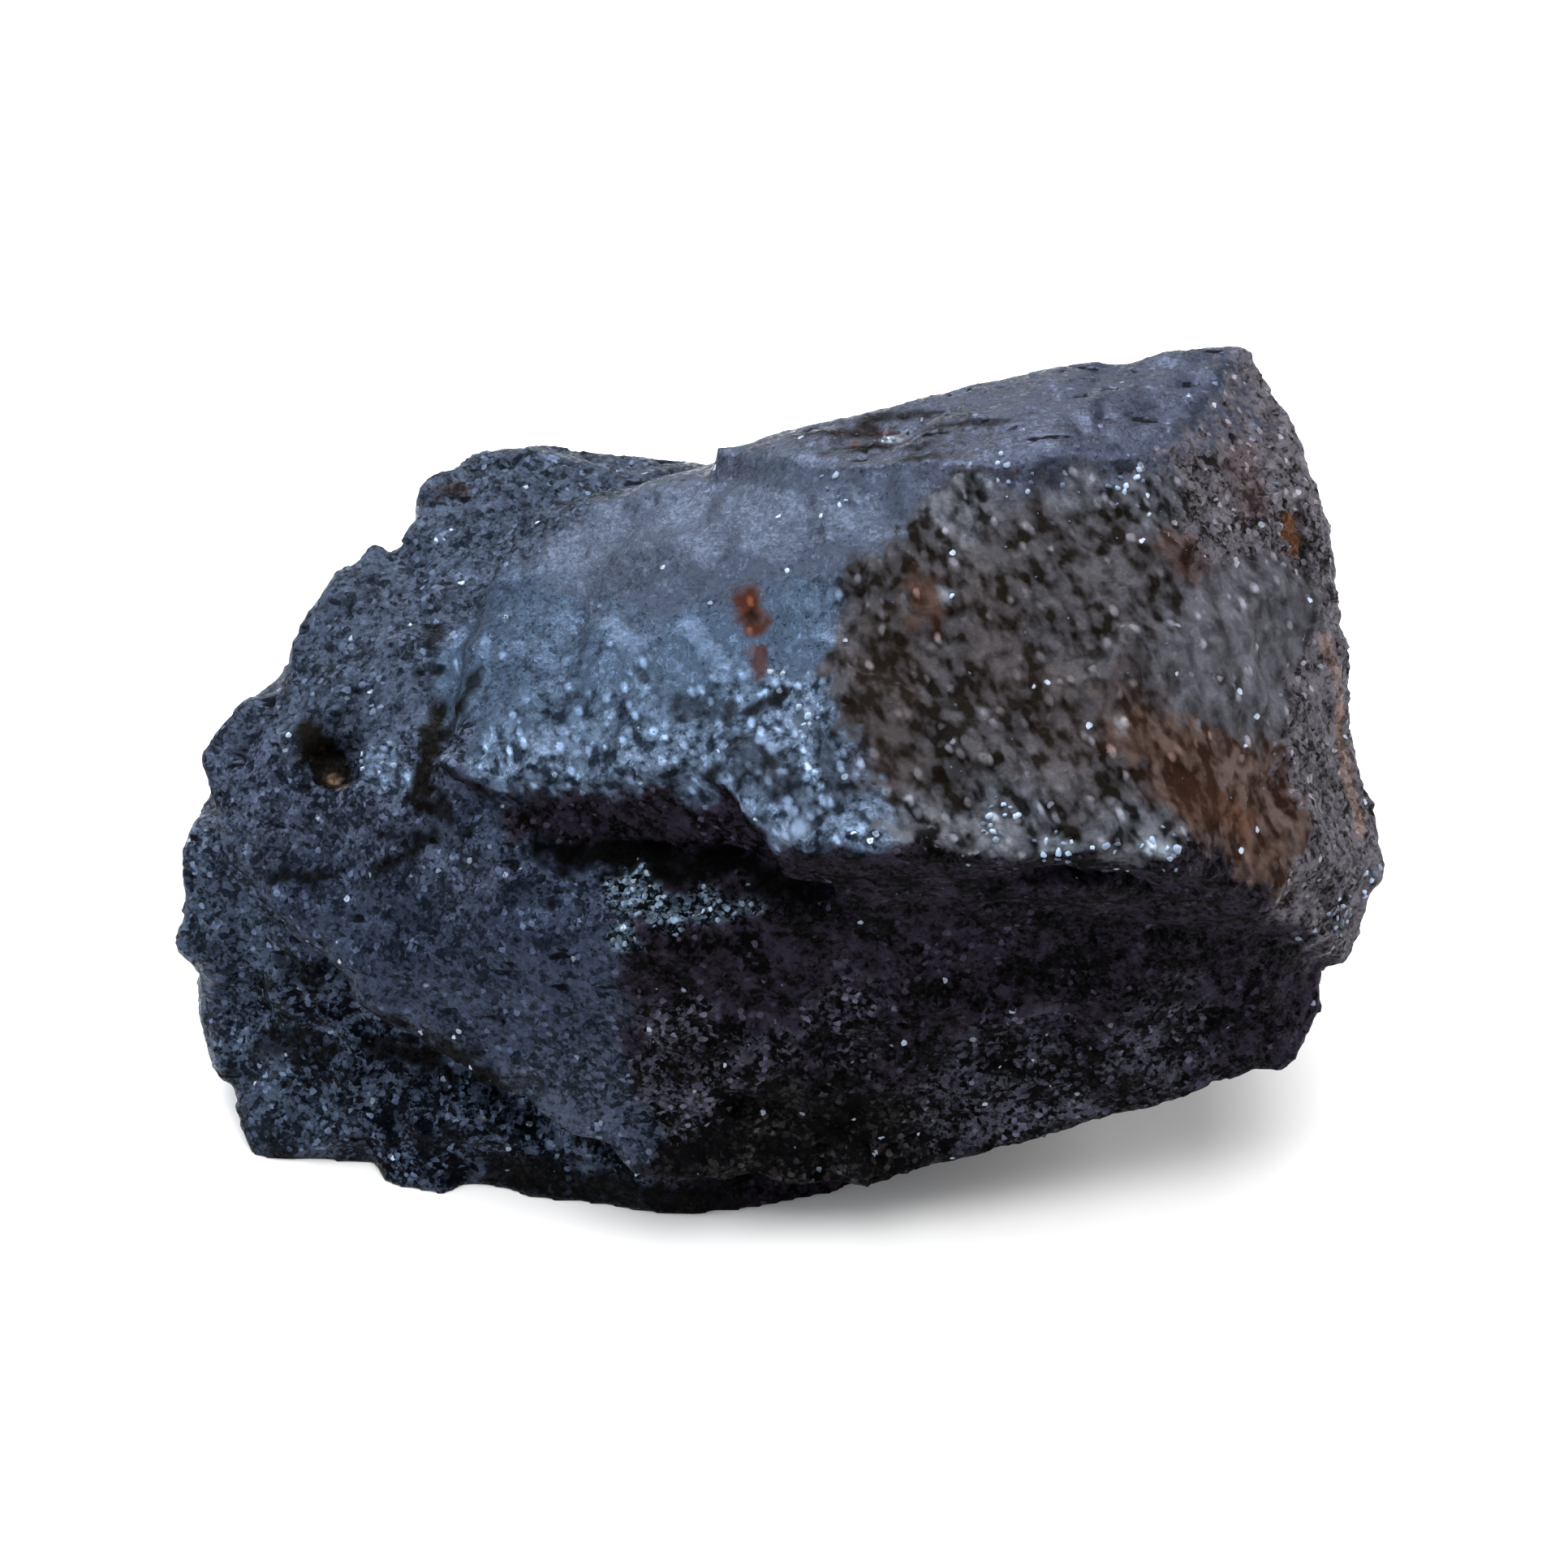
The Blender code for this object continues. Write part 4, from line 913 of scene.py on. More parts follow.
class CoatMap:
    """Works out which coat each point of the surface has."""

    turn_weight: float = 1.6
    sharpness: float = 6.0
    grit_size: float = 0.55
    grit: float = 0.75
    grit_turns: tuple[float, float] = (2.4, 1.7)
    warp_size: float = 2.2
    warp: float = 0.9
    ragged_size: float = 0.7
    raggedness: float = 0.9
    noise_seed: int = 5
    stain_depth: float = 2.7
    stain_fall: float = 2.2
    cluster_depth: float = 1.6

    def __init__(self, points: np.ndarray, normals: np.ndarray) -> None:
        """Share the points out among the zones.

        The noise is seeded first, because its vectors otherwise change with the time of the run.

        Args:
            points: The points in millimetres.
            normals: The way the surface looks at each.
        """
        noise.seed_set(self.noise_seed)
        self.points = points
        moved = points + self.wobble(points)
        scores = np.stack([self.score(patch, moved, normals) for patch in PATCHES], axis=1)
        scores += self.grit * self.speckle(points)
        shares = np.exp(-self.sharpness * (scores - scores.min(axis=1, keepdims=True)))
        self.shares = shares / shares.sum(axis=1, keepdims=True)
        uneven = [noise.noise(Vector(point) / self.ragged_size) for point in points]
        self.ragged = np.array(uneven) * self.raggedness

    def wobble(self, points: np.ndarray) -> np.ndarray:
        """Give each point a small shift, so that the zones' borders run unevenly."""
        moves = [noise.noise_vector(Vector(point) / self.warp_size) for point in points]
        return np.array(moves) * self.warp

    def speckle(self, points: np.ndarray) -> np.ndarray:
        """Let the zones mingle grain by grain along their borders.

        Args:
            points: The points in millimetres.

        Returns:
            A row for each point, with fine noise for each patch that is the same within a zone.
        """
        noises = np.array([noise.noise_vector(Vector(point) / self.grit_size) for point in points])
        turn, third = self.grit_turns
        turns = np.array([turn * list(Zone).index(patch.zone) for patch in PATCHES])
        return noises @ np.stack([np.cos(turns), np.sin(turns), np.cos(third * turns)])

    def score(self, patch: Patch, points: np.ndarray, normals: np.ndarray) -> np.ndarray:
        """Tell how far each point is from belonging to a patch.

        Args:
            patch: The patch.
            points: The points in millimetres.
            normals: The way the surface looks at each.

        Returns:
            A number for each point, 0 in the middle of the patch.
        """
        looks = Vector(patch.looks).normalized()
        far = ((points - np.array(patch.middle)) ** 2).sum(axis=1) / patch.reach**2
        return far + self.turn_weight * (1.0 - normals @ np.array(looks))

    def blend(self, *names: str) -> np.ndarray:
        """Mix fields of the coats by the zones' shares.

        Args:
            names: The fields, each a number or three numbers.

        Returns:
            A row of numbers for each point.
        """
        rows = [np.hstack([getattr(patch.zone.value, name) for name in names]) for patch in PATCHES]
        return self.shares @ np.array(rows)

    def stained(self, tones: np.ndarray, shade: float) -> np.ndarray:
        """Colour the spots and the streaks, with ragged borders.

        Args:
            tones: The colour at each point.
            shade: How light the stains' own colours come out.

        Returns:
            The new colours.
        """
        for stain in STAINS:
            cover = self.cover(stain)
            tones = tones * (1.0 - cover) + np.array(stain.tint.value) * (shade * cover)
        return tones

    def metal(self) -> np.ndarray:
        """Give how metallic each point is, which a stain takes away."""
        shares = self.blend("metal")
        for stain in STAINS:
            shares = shares * (1.0 - self.cover(stain))
        return shares

    def cover(self, stain: Stain) -> np.ndarray:
        """Tell how far a stain covers each point, from 0 to 1."""
        start, span = np.array(stain.start), np.array(stain.end) - np.array(stain.start)
        along = np.clip((self.points - start) @ span / (span @ span), 0.0, 1.0)
        far = np.linalg.norm(self.points - start - along[:, None] * span, axis=1) / stain.radius
        cover = np.clip(self.stain_depth - self.stain_fall * (far + self.ragged), 0.0, 1.0)
        return (cover * stain.strength)[:, None]

    def clustered(self) -> np.ndarray:
        """Tell how thickly the pale mineral grains stand at each point."""
        shares = self.blend("pale")
        for cluster in CLUSTERS:
            far = np.linalg.norm(self.points - np.array(cluster.middle), axis=1) / cluster.reach
            near = np.clip(self.cluster_depth - far, 0.0, 1.0) * cluster.share
            shares = np.maximum(shares, near[:, None])
        return shares


def write_attribute(mesh: bpy.types.Mesh, name: str, kind: str, rows: np.ndarray) -> None:
    """Store a value at each vertex of a mesh.

    Args:
        mesh: The mesh.
        name: The name of the attribute.
        kind: FLOAT_VECTOR or FLOAT_COLOR.
        rows: The values, one row for each vertex.
    """
    made = mesh.attributes.new(name, kind, "POINT")
    key = {"FLOAT_VECTOR": "vector", "FLOAT_COLOR": "color"}[kind]
    if kind == "FLOAT_COLOR":
        rows = np.hstack([rows, np.ones((len(rows), 1))])
    made.data.foreach_set(key, rows.astype(np.float32).ravel())


@dataclass(frozen=True)
class OreFinish:
    """The finish of the stone: dark steely grains with paler ones among them, some of them shining.

    It reads its colours and its shine from the attributes that the coats leave on the mesh. The
    fields from cell to group are the sizes of its patterns.
    """

    grain: Grain = Grain()
    cell: float = 0.32
    fine_cell: float = 0.15
    cloud: float = 3.2
    blotch: float = 1.8
    round_blotch: float = 0.7
    group: float = 2.6
    specular: float = 0.03
    spot_gain: float = 2.8
    glint_colour: Triple = (0.34, 0.4, 0.5)
    glint_least: float = 0.15
    glint_more: float = 0.8
    glint_polish: float = 0.4
    crack_and_shade_colour: Triple = (0.0009, 0.0006, 0.0011)
    crack_and_shade_rough: float = 0.3
    roughness_size: float = 0.3
    roughness_depth: float = 0.1
    roughness_shown: float = 0.35

    def build(self, name: str) -> bpy.types.Material:
        """Make the material.

        Args:
            name: The material's name.

        Returns:
            The material.
        """
        bench = MaterialBench(name, self.specular)
        nodes, place = bench.nodes, bench.place
        rough, tilt, glint = (self.read(nodes, "shine").part(index) for index in range(3))
        metal = self.read(nodes, "form").part(1)
        lumps = self.grain.lump_cells(nodes, place)
        cell = nodes.cells(place, self.cell)
        fine = nodes.cells(place, self.fine_cell)
        clouds = self.clouds(nodes, place)
        light = self.read(nodes, "light_tone")
        blotches = nodes.soft_noise(place, self.blotch, 3.0).step(0.3, 0.7)
        even = cell.part(0) * 0.45 + fine.part(0) * 0.3 + blotches * 0.25
        mottled = self.mottled(nodes, place, lumps, blotches, metal.step(0.35, 0.65))
        tone = self.tone(nodes, even, mottled, clouds)
        colour = nodes.blend(tone, self.read(nodes, "dark_tone"), light)
        # Painted sparkle: spots and specks blend towards a brighter copy of the light tone.
        colour = nodes.blend(self.accent(nodes, place, lumps, cell, clouds), colour, light * self.spot_gain)
        # Dark pits and fissures, and painted shade in the hollows, are blended towards a near-black colour.
        pits_cracks_and_shade = self.pits_cracks_and_shade(nodes, place)
        colour = nodes.blend(pits_cracks_and_shade, colour, self.crack_and_shade_colour)
        chosen = nodes.combine("GREATER_THAN", cell.part(1), 1.0 - glint)
        shining = chosen * cell.output("Distance").step(0.75, 0.5)
        shown = shining * (self.glint_least + cell.part(2) * self.glint_more)
        bench.feed("Base Color", nodes.blend(shown, colour, self.glint_colour))
        bench.feed("Metallic", metal * (1.0 - pits_cracks_and_shade))
        spread = (fine.part(2) - 0.5) * 0.3 + (cell.part(2) - 0.5) * 0.2
        uneven = rough + spread + pits_cracks_and_shade * self.crack_and_shade_rough
        bench.feed("Roughness", uneven * (1.0 - shining * self.glint_polish))
        bench.feed("Normal", self.relief(bench, cell, fine, tilt))
        return bench.material

    def read(self, nodes: Nodes, name: str) -> Socket:
        """Read an attribute of the mesh."""
        return nodes.add("ShaderNodeAttribute", {"attribute_name": name}, {}, "Vector")

    def clouds(self, nodes: Nodes, place: Socket) -> Socket:
        """Give how far whole stretches are darkened, from 0 to 1."""
        return nodes.soft_noise(place, self.cloud).step(0.56, 0.42) * self.read(nodes, "accents").part(2)

    def mottled(
        self, nodes: Nodes, place: Socket, lumps: Socket, blotches: Socket, steely: Socket
    ) -> Socket:
        """Give the lightness of mottled ore: drawn out on the roof, and round where it is steely.

        Args:
            nodes: The tree.
            place: The place in millimetres.
            lumps: The cells of the lumps.
            blotches: Soft blotches a few grains wide.
            steely: How far the mottling is round and not drawn out.

        Returns:
            The lightness, from 0 to 1.
        """
        strokes, streaks = self.grain.strokes(nodes, place), self.grain.streaks(nodes, place)
        long = lumps.output("Color").part(0) * 0.25 + strokes * 0.45 + streaks * 0.3
        blots = nodes.soft_noise(place, self.round_blotch, 2.0).step(0.3, 0.68)
        rounded = blots * 0.6 + blotches * 0.4
        return long + (rounded - long) * steely

    def tone(self, nodes: Nodes, even: Socket, mottled: Socket, clouds: Socket) -> Socket:
        """Work out where each grain stands between its zone's dark and light colours.

        Args:
            nodes: The tree.
            even: The lightness of grains that lie side by side, as on the flank.
            mottled: The lightness of mottled ore.
            clouds: How far a stretch is darkened.

        Returns:
            The lightness, from 0 to 1.
        """
        spread = self.read(nodes, "spread")
        mixed = even + (mottled - even) * self.read(nodes, "form").part(0) - clouds * 0.4
        return mixed.ramp(spread.part(0), spread.part(1))

    def accent(self, nodes: Nodes, place: Socket, lumps: Socket, cell: Socket, clouds: Socket) -> Socket:
        """Work out the painted sparkle: soft spots and sharp specks painted brighter, in place of glints.

        Args:
            nodes: The tree.
            place: The place in millimetres.
            lumps: The cells of the lumps.
            cell: The cells of the grains.
            clouds: How far a stretch is darkened.

        Returns:
            How bright they are, from 0 to 1.
        """
        accents = self.read(nodes, "accents")
        spots, specks = accents.part(0), accents.part(1)
        soft = lumps.output("Color").part(2).ramp(1.0 - spots * 0.5, spots + 0.001) * lumps.step(0.5, 0.12)
        sharp = cell.part(2).ramp(1.0 - specks * 0.3, specks * 0.6 + 0.001)
        pointed = sharp * cell.output("Distance").step(0.85, 0.55)
        grouped = nodes.soft_noise(place, self.group).step(0.42, 0.6) * 0.85 + 0.15
        return nodes.combine("MAXIMUM", soft, pointed * grouped) * (1.0 - clouds)

    def pits_cracks_and_shade(self, nodes: Nodes, place: Socket) -> Socket:
        """Work out where the colour goes dark: in pits and fissures, and as painted shade in the hollows
        below the smoothed shape.

        Args:
            nodes: The tree.
            place: The place in millimetres.

        Returns:
            The share of darkening, from 0 to 1.
        """
        marks = self.read(nodes, "marks")
        pits = self.grain.pits(nodes, place) * marks.part(0).step(0.02, 0.2)
        fissures = self.grain.fissures(nodes, place, marks.part(1))
        # Painted shade: the hollows below the stone's smoothed shape are darkened, where shade falls.
        uneven = nodes.soft_noise(place, 0.5) - 0.5
        hollows = (marks.part(2) + uneven * 0.25).step(0.1, 0.6) * 0.75
        pits_cracks_and_shade = nodes.combine("MAXIMUM", pits * 0.85, fissures * 0.9)
        return nodes.combine("MAXIMUM", pits_cracks_and_shade, hollows)

    def relief(self, bench: MaterialBench, cell: Socket, fine: Socket, tilt: Socket) -> Socket:
        """Turn each grain's face its own way, and let the finest roughness show.

        Args:
            bench: The material in the making.
            cell: The cells of the grains.
            fine: The cells of the finest grains.
            tilt: How far the grains turn.

        Returns:
            The normal.
        """
        surface = bench.nodes.add("ShaderNodeNewGeometry", {}, {}, "Normal")
        turned = surface + (cell - 0.5) * tilt + (fine - 0.5) * tilt * 0.7
        height = bench.nodes.soft_noise(bench.place, self.roughness_size, 3.0)
        return bench.bump(height, self.roughness_shown, self.roughness_depth * MM, turned.unit())


@dataclass
class Stone:
    """The stone's surface: a fine copy of the solid, coated, roughened and thinned out.

    The surface stays where it is below still_below, and moves in full above full_above.
    """

    grain: Grain = Grain()
    voxel: float = 0.24
    smooth_rounds: int = 14
    wear_rounds: int = 70
    dark_shade: float = 0.45
    light_shade: float = 1.1
    fine_grain: float = 0.4
    fine_height: float = 0.05
    wave: float = 1.6
    wave_least: float = 0.02
    wave_share: float = 0.8
    fissure_depth: float = 0.18
    still_below: float = 0.25
    full_above: float = 1.2
    triangles: int = 192000
    flat_below: float = 0.12

    def build(self) -> bpy.types.Object:
        """Build and dress the surface.

        Returns:
            The finished piece.
        """
        piece = self.copy_solid()
        self.refine(piece)
        self.coat(piece)
        self.roughen(piece)
        self.thin_out(piece)
        self.settle(piece)
        piece.data.materials.clear()
        piece.data.materials.append(OreFinish(self.grain).build("granular_magnetite"))
        take(piece)
        bpy.ops.object.shade_smooth()
        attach(piece, BODY)
        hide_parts(SOLID)
        return piece

    def copy_solid(self) -> bpy.types.Object:
        """Copy the solid's mesh and merge its loose triangles.

        Returns:
            The copy, as an object of its own.
        """
        piece = bpy.data.objects.new("stone_surface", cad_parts[SOLID].data.copy())
        bpy.context.scene.collection.objects.link(piece)
        take(piece)
        bpy.ops.object.mode_set(mode="EDIT")
        bpy.ops.mesh.select_all(action="SELECT")
        bpy.ops.mesh.remove_doubles(threshold=1e-6)
        bpy.ops.object.mode_set(mode="OBJECT")
        return piece

    def smooth(self, piece: bpy.types.Object, rounds: int) -> None:
        """Smooth a mesh that many times."""
        modifier = piece.modifiers.new("smooth", "SMOOTH")
        modifier.factor = 0.5
        modifier.iterations = rounds
        apply(piece, modifier)

    def refine(self, piece: bpy.types.Object) -> None:
        """Give the copy small, even faces, and round off the solid's triangles."""
        modifier = piece.modifiers.new("even", "REMESH")
        modifier.mode = "VOXEL"
        modifier.voxel_size = self.voxel * MM
        apply(piece, modifier)
        self.smooth(piece, self.smooth_rounds)

    def places(self, mesh: bpy.types.Mesh) -> np.ndarray:
        """Give the place of every vertex, in millimetres."""
        points = np.empty(len(mesh.vertices) * 3, np.float32)
        mesh.vertices.foreach_get("co", points)
        return points.reshape(-1, 3) / MM

    def sunken(self, piece: bpy.types.Object, points: np.ndarray, normals: np.ndarray) -> np.ndarray:
        """Tell how deep each vertex lies below the stone's smoothed shape.

        Args:
            piece: The surface.
            points: Its vertices in millimetres.
            normals: The way it looks at each.

        Returns:
            The depth in millimetres, negative where an edge stands out.
        """
        worn = bpy.data.objects.new("worn_copy", piece.data.copy())
        bpy.context.scene.collection.objects.link(worn)
        self.smooth(worn, self.wear_rounds)
        depth = ((self.places(worn.data) - points) * normals).sum(axis=1)
        bpy.data.objects.remove(worn)
        return depth

    def coat(self, piece: bpy.types.Object) -> None:
        """Leave the coats' colours, shine and heights on the mesh."""
        mesh = piece.data
        points = self.places(mesh)
        normals = np.array([vertex.normal for vertex in mesh.vertices])
        depth = self.sunken(piece, points, normals)
        coats = CoatMap(points, normals)
        for name, shade in {"dark": self.dark_shade, "light": self.light_shade}.items():
            tones = coats.stained(coats.blend(name), shade)
            write_attribute(mesh, f"{name}_tone", "FLOAT_COLOR", tones)
        rows = {
            "shine": coats.blend("rough", "tilt", "glint"),
            "spread": np.hstack([coats.blend("middle", "width"), coats.clustered()]),
            "form": np.hstack([coats.blend("lumpy"), coats.metal(), coats.blend("crystals")]),
            "heights": coats.blend("facet_height", "lump_height", "grain_height"),
            "accents": coats.blend("spots", "specks", "cloudy"),
            "marks": np.hstack([coats.blend("pit_depth", "fissured"), depth[:, None]]),
        }
        for name, values in rows.items():
            write_attribute(mesh, name, "FLOAT_VECTOR", values)

    def roughen(self, piece: bpy.types.Object) -> None:
        """Lift and sink the surface by facets, lumps, grains and pits, but for its base."""
        nodes = ModifierTree("roughen")
        place = nodes.add("GeometryNodeInputPosition", {}, {}) * MM_PER_METRE
        heights, marks = nodes.stored("heights"), nodes.stored("marks")
        fine = nodes.cells(place, self.fine_grain, "Distance").step(0.6, 0.1) - 0.5
        wavy = nodes.soft_noise(place, self.wave, 3.0) - 0.5
        height = self.grain.facets(nodes, place) * heights.part(0)
        height += (self.grain.lumps(nodes, place) - 0.5) * heights.part(1)
        height += (self.grain.coarse_grains(nodes, place) - 0.4) * heights.part(2)
        height += fine * self.fine_height + wavy * (heights.part(0) * self.wave_share + self.wave_least)
        height -= self.grain.pits(nodes, place) * marks.part(0)
        height -= self.grain.fissures(nodes, place, marks.part(1)) * self.fissure_depth
        free = place.part(2).step(self.still_below, self.full_above)
        shift = nodes.add("GeometryNodeInputNormal", {}, {}) * (height * free * MM)
        nodes.give(nodes.add("GeometryNodeSetPosition", {}, {"Geometry": nodes.taken, "Offset": shift}))
        modifier = piece.modifiers.new("roughen", "NODES")
        modifier.node_group = nodes.tree
        apply(piece, modifier)

    def thin_out(self, piece: bpy.types.Object) -> None:
        """Keep the triangles that the shape needs most."""
        modifier = piece.modifiers.new("fewer", "DECIMATE")
        modifier.ratio = min(1.0, self.triangles / triangle_count(piece))
        modifier.use_collapse_triangulate = True
        apply(piece, modifier)

    def settle(self, piece: bpy.types.Object) -> None:
        """Make the base flat again, at the height of zero."""
        for vertex in piece.data.vertices:
            if vertex.co.z < self.flat_below * MM:
                vertex.co.z = 0.0
        piece.data.update()


@dataclass(frozen=True)
class GrainFinish:
    """The finish of grains that stand out of the stone, each a little different in tone."""

    dark: Triple
    light: Triple
    metal: float
    rough: float
    specular: float = 0.12
    mottle: float = 0.2
    relief: float = 0.05
    relief_shown: float = 0.2

    def build(self, name: str) -> bpy.types.Material:
        """Make the material.

        Args:
            name: The material's name.

        Returns:
            The material.
        """
        bench = MaterialBench(name, self.specular)
        nodes = bench.nodes
        tone = nodes.add("ShaderNodeAttribute", {"attribute_name": "grain_tone"}, {}, "Fac")
        mottle = nodes.soft_noise(bench.place, self.mottle)
        bench.feed("Base Color", nodes.blend(tone * tone + mottle * 0.2, self.dark, self.light))
        bench.feed("Metallic", self.metal)
        bench.feed("Roughness", self.rough - tone * 0.2 + mottle * 0.12)
        bench.feed("Normal", bench.bump(mottle, self.relief_shown, self.relief * MM))
        return bench.material


@dataclass
class ScatteredGrains(ABC):
    """Small grains set into the stone, thickest where one of its attributes says so.

    Densest is the most grains to a square metre. A grain's rank scales its size and its lightness,
    and rises from smallest_rank, by rank_gain at the most, where the grains stand more thickly.
    """

    name: str
    attribute: str
    index: int
    spacing: float
    size: float
    seed: int
    finish: GrainFinish
    densest: float = 6.0e6
    clear_of_base: float = 0.8
    smallest_rank: float = 0.4
    rank_gain: float = 0.85
    full_rank_at: float = 0.8
    least_width: float = 0.4
    most_width: float = 1.3
    full_turn: float = 6.28
    darkest: float = 0.25

    @abstractmethod
    def grain(self) -> bpy.types.Object:
        """Model one grain.

        Returns:
            The grain, one unit from its middle to its surface.
        """

    def build(self, stone: bpy.types.Object) -> bpy.types.Object:
        """Scatter the grains over the stone.

        Args:
            stone: The finished surface.

        Returns:
            The grains, as one piece.
        """
        grain = self.grain()
        piece = bpy.data.objects.new(self.name, stone.data.copy())
        bpy.context.scene.collection.objects.link(piece)
        modifier = piece.modifiers.new("scatter", "NODES")
        modifier.node_group = self.tree(grain)
        apply(piece, modifier)
        bpy.data.objects.remove(grain)
        piece.data.materials.clear()
        piece.data.materials.append(self.finish.build(self.name + "_finish"))
        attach(piece, BODY)
        return piece

    def tree(self, grain: bpy.types.Object) -> bpy.types.NodeTree:
        """Build the nodes that scatter the grain.

        Args:
            grain: The grain.

        Returns:
            The tree.
        """
        nodes = ModifierTree(self.name)
        share = nodes.stored(self.attribute).part(self.index)
        height = nodes.add("GeometryNodeInputPosition", {}, {}).part(2)
        rank = self.smallest_rank + share.step(0.0, self.full_rank_at) * self.rank_gain
        clear = self.clear_of_base * MM
        inputs = {
            "Mesh": nodes.taken,
            "Distance Min": self.spacing * MM,
            "Density Max": self.densest,
            "Density Factor": share * height.step(clear, 1.5 * clear),
            "Seed": self.seed,
        }
        points = nodes.add("GeometryNodeDistributePointsOnFaces", {"distribute_method": "POISSON"}, inputs)
        turn = nodes.draw("FLOAT_VECTOR", 0.0, self.full_turn, 1)
        low, high = self.least_width * self.size * MM, self.most_width * self.size * MM
        scale = nodes.draw("FLOAT_VECTOR", low, high, 2)
        shape = nodes.add("GeometryNodeObjectInfo", {}, {"Object": grain}, "Geometry")
        inputs = {"Points": points, "Instance": shape, "Rotation": turn, "Scale": scale * rank}
        placed = nodes.add("GeometryNodeInstanceOnPoints", {}, inputs)
        tone = nodes.draw("FLOAT", self.darkest, 1.0, 3) * rank
        settings = {"data_type": "FLOAT", "domain": "INSTANCE"}
        inputs = {"Geometry": placed, "Name": "grain_tone", "Value": tone}
        toned = nodes.add("GeometryNodeStoreNamedAttribute", settings, inputs)
        nodes.give(nodes.add("GeometryNodeRealizeInstances", {}, {"Geometry": toned}))
        return nodes.tree


@dataclass
class CrystalGrains(ScatteredGrains):
    """Bright, sharp crystals of the ore."""

    edge: float = 0.12

    def grain(self) -> bpy.types.Object:
        """Model one crystal, a double pyramid with its edges cut off.

        Returns:
            The crystal.
        """
        deselect_all()
        bpy.ops.mesh.primitive_uv_sphere_add(segments=4, ring_count=2, radius=1.0)
        bpy.ops.object.mode_set(mode="EDIT")
        bpy.ops.mesh.select_all(action="SELECT")
        bpy.ops.mesh.bevel(offset=self.edge, segments=1, affect="EDGES")
        bpy.ops.object.mode_set(mode="OBJECT")
        return bpy.context.active_object


@dataclass
class PaleGrains(ScatteredGrains):
    """Rounded, uneven grains of a pale mineral."""

    unevenness: float = 0.22

    def grain(self) -> bpy.types.Object:
        """Model one rounded grain, knocked out of round.

        Returns:
            The grain.
        """
        deselect_all()
        bpy.ops.mesh.primitive_ico_sphere_add(subdivisions=2, radius=1.0)
        bpy.ops.object.mode_set(mode="EDIT")
        bpy.ops.mesh.select_all(action="SELECT")
        bpy.ops.transform.vertex_random(offset=self.unevenness, normal=1.0, seed=self.seed)
        bpy.ops.object.mode_set(mode="OBJECT")
        bpy.ops.object.shade_smooth()
        return bpy.context.active_object


CRYSTALS = CrystalGrains(
    "crystal_grains", "form", 2, spacing=0.38, size=0.15, seed=7,
    finish=GrainFinish((0.02, 0.024, 0.032), (0.2, 0.235, 0.3), metal=0.8, rough=0.45),
)
PALE_GRAINS = PaleGrains(
    "pale_grains", "spread", 2, spacing=0.4, size=0.17, seed=3,
    finish=GrainFinish((0.016, 0.025, 0.042), (0.3, 0.385, 0.52), metal=0.0, rough=0.5),
)


@dataclass(frozen=True)
class SoftBox:
    """A square soft light that faces the stone, with its power in watts."""

    name: str
    place: Triple
    side: float
    power: float
    colour: Triple
    aim: Triple = (0.0, 0.0, 18.0)

    def build(self) -> None:
        """Set the light up."""
        light = bpy.data.lights.new(self.name, "AREA")
        light.size = self.side * MM
        light.energy = self.power
        light.color = self.colour
        lamp = bpy.data.objects.new(self.name, light)
        lamp.location = Vector(self.place) * MM
        way = Vector(self.aim) - Vector(self.place)
        lamp.rotation_euler = way.to_track_quat("-Z", "Y").to_euler()
        bpy.context.scene.collection.objects.link(lamp)


SOFT_BOXES = [
    SoftBox("soft_box_back", (-110.0, 340.0, 330.0), 360.0, 3.2, (0.95, 0.98, 1.0)),
    SoftBox("soft_box_top", (30.0, 0.0, 480.0), 420.0, 3.0, (1.0, 0.99, 0.98)),
    SoftBox("soft_box_left", (-380.0, -60.0, 260.0), 260.0, 1.3, (0.95, 0.98, 1.0)),
    SoftBox("soft_box_right", (400.0, 60.0, 220.0), 260.0, 1.2, (1.0, 0.98, 0.97)),
]


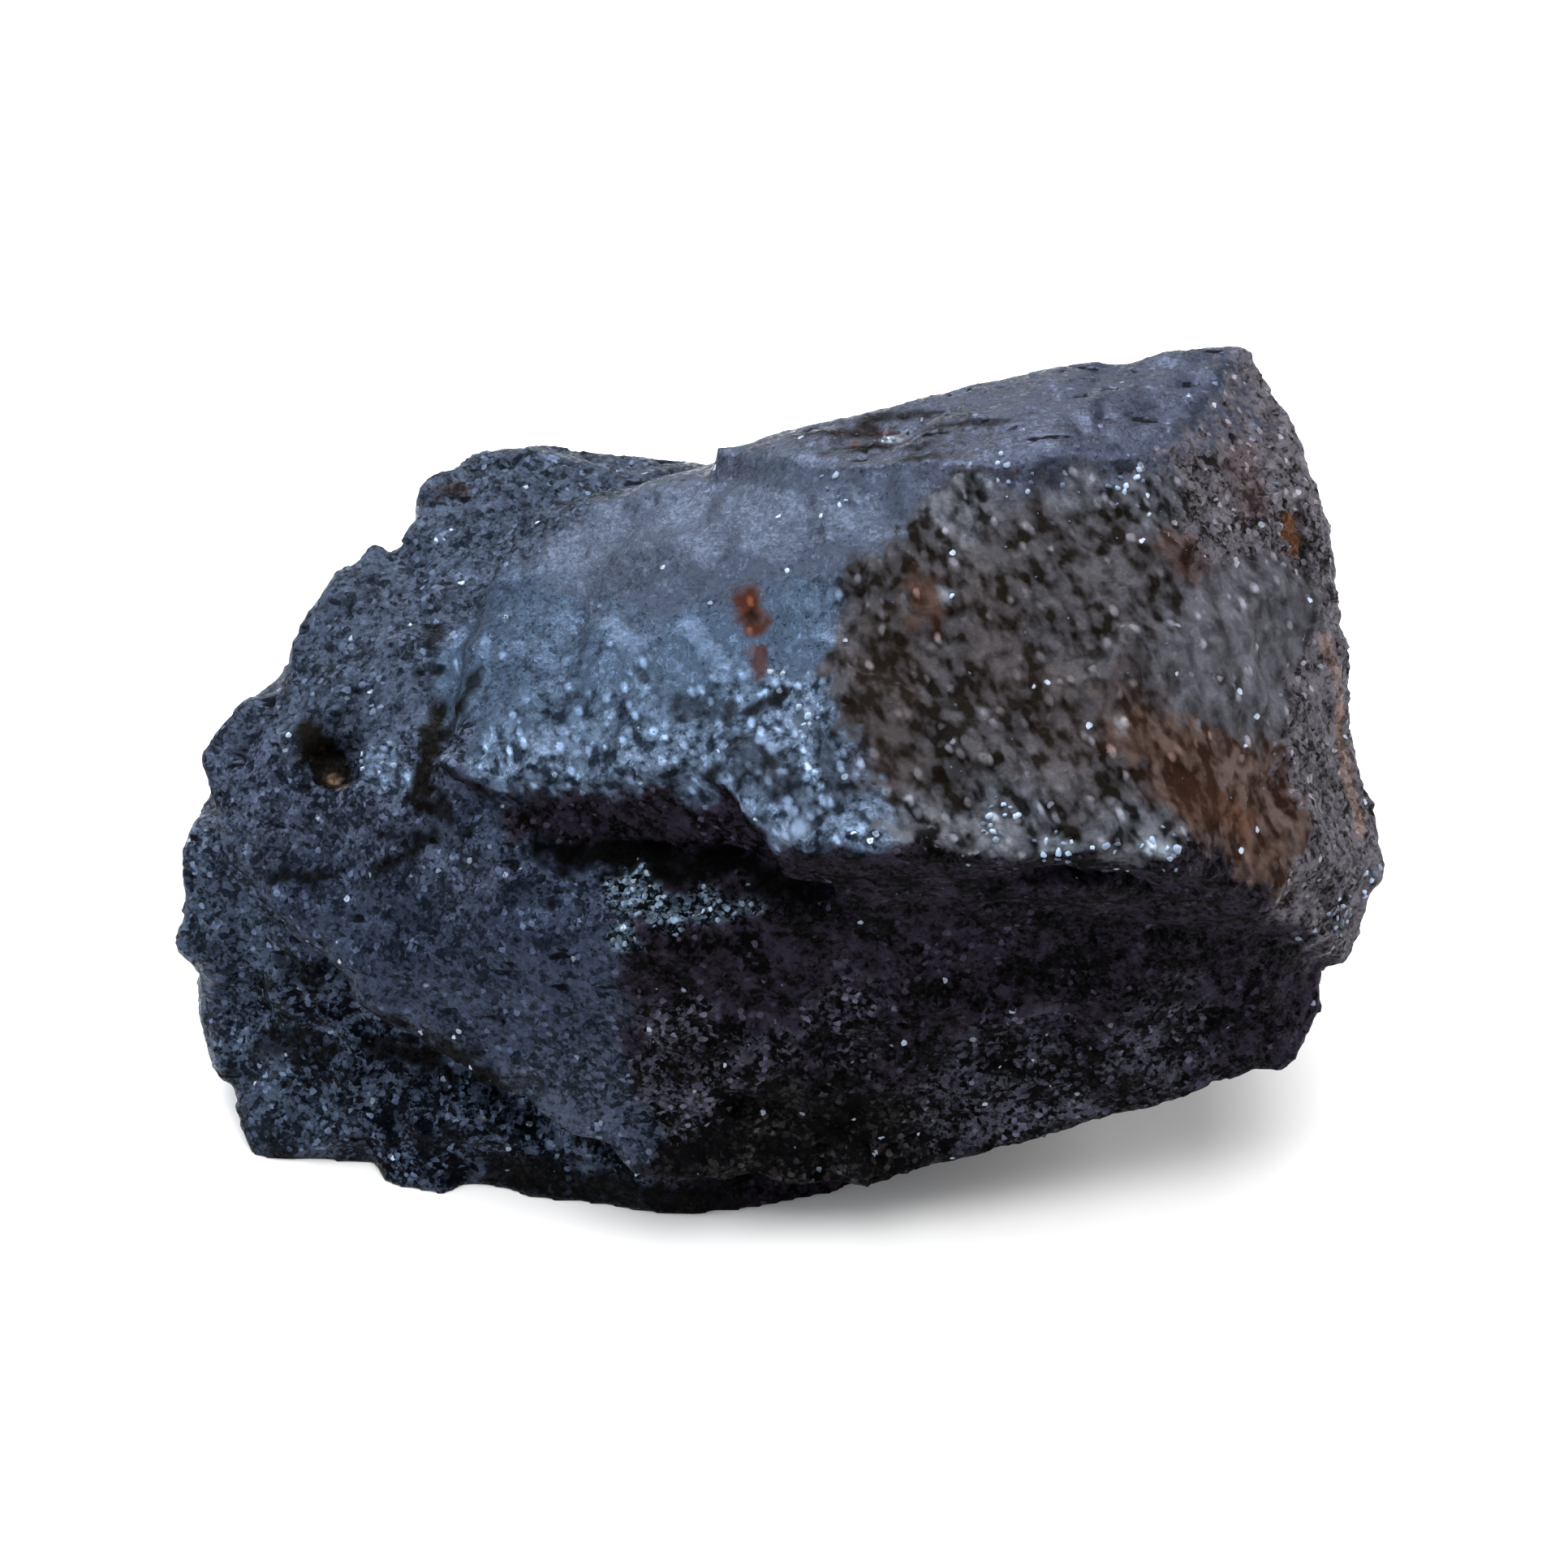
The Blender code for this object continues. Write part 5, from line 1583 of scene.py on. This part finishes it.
@dataclass
class Studio:
    """The plain pale floor and the soft light."""

    floor_size: float = 2400.0
    floor_below: float = 0.02
    floor_colour: Triple = (0.8, 0.8, 0.8)
    floor_cloud: float = 60.0
    floor_fading: float = 0.985
    floor_rough: float = 0.9
    world_colour: Triple = (0.93, 0.96, 1.0)
    world_strength: float = 0.4

    def build(self) -> None:
        """Lay the floor and set the lights."""
        self.lay_floor()
        world = bpy.data.worlds.new("studio")
        world.use_nodes = True
        bpy.context.scene.world = world
        background = world.node_tree.nodes["Background"]
        background.inputs["Color"].default_value = (*self.world_colour, 1.0)
        background.inputs["Strength"].default_value = self.world_strength
        for box in SOFT_BOXES:
            box.build()
        bpy.context.scene.view_settings.view_transform = "Standard"

    def lay_floor(self) -> None:
        """Lay a wide, matt, pale floor just under the stone."""
        deselect_all()
        below = (0.0, 0.0, -self.floor_below * MM)
        bpy.ops.mesh.primitive_plane_add(size=self.floor_size * MM, location=below)
        floor = bpy.context.active_object
        floor.name = "floor"
        bench = MaterialBench("pale_floor", specular=0.1)
        faded = tuple(channel * self.floor_fading for channel in self.floor_colour)
        clouds = bench.nodes.soft_noise(bench.place, self.floor_cloud)
        bench.feed("Base Color", bench.nodes.blend(clouds, self.floor_colour, faded))
        bench.feed("Roughness", self.floor_rough)
        floor.data.materials.append(bench.material)


@dataclass
class PhotoCamera:
    """The camera, in front of the stone at the photograph's viewing angle, in degrees."""

    target: Triple = (0.66, -0.9, 18.0)
    elevation: float = 46.0
    distance: float = 250.0
    lens: float = 100.0
    sensor: float = 36.0
    nearest: float = 5.0
    farthest: float = 10000.0

    def build(self) -> None:
        """Set the camera up and make it the scene's."""
        data = bpy.data.cameras.new("photo_camera")
        data.lens = self.lens
        data.sensor_width = self.sensor
        data.clip_start, data.clip_end = self.nearest * MM, self.farthest * MM
        camera = bpy.data.objects.new("photo_camera", data)
        angle = math.radians(self.elevation)
        back = Vector((0.0, -math.cos(angle), math.sin(angle)))
        camera.location = (Vector(self.target) + back * self.distance) * MM
        camera.rotation_euler = (-back).to_track_quat("-Z", "Y").to_euler()
        bpy.context.scene.collection.objects.link(camera)
        bpy.context.scene.camera = camera


def main() -> None:
    """Build the dressed stone, the studio and the camera."""
    logging.basicConfig(level=logging.INFO, format="%(name)s: %(message)s")
    stone = Stone().build()
    log.info("%s has %d triangles", stone.name, triangle_count(stone))
    for grains in (CRYSTALS, PALE_GRAINS):
        piece = grains.build(stone)
        log.info("%s has %d triangles", piece.name, triangle_count(piece))
    Studio().build()
    PhotoCamera().build()


if __name__ == "__main__":
    main()
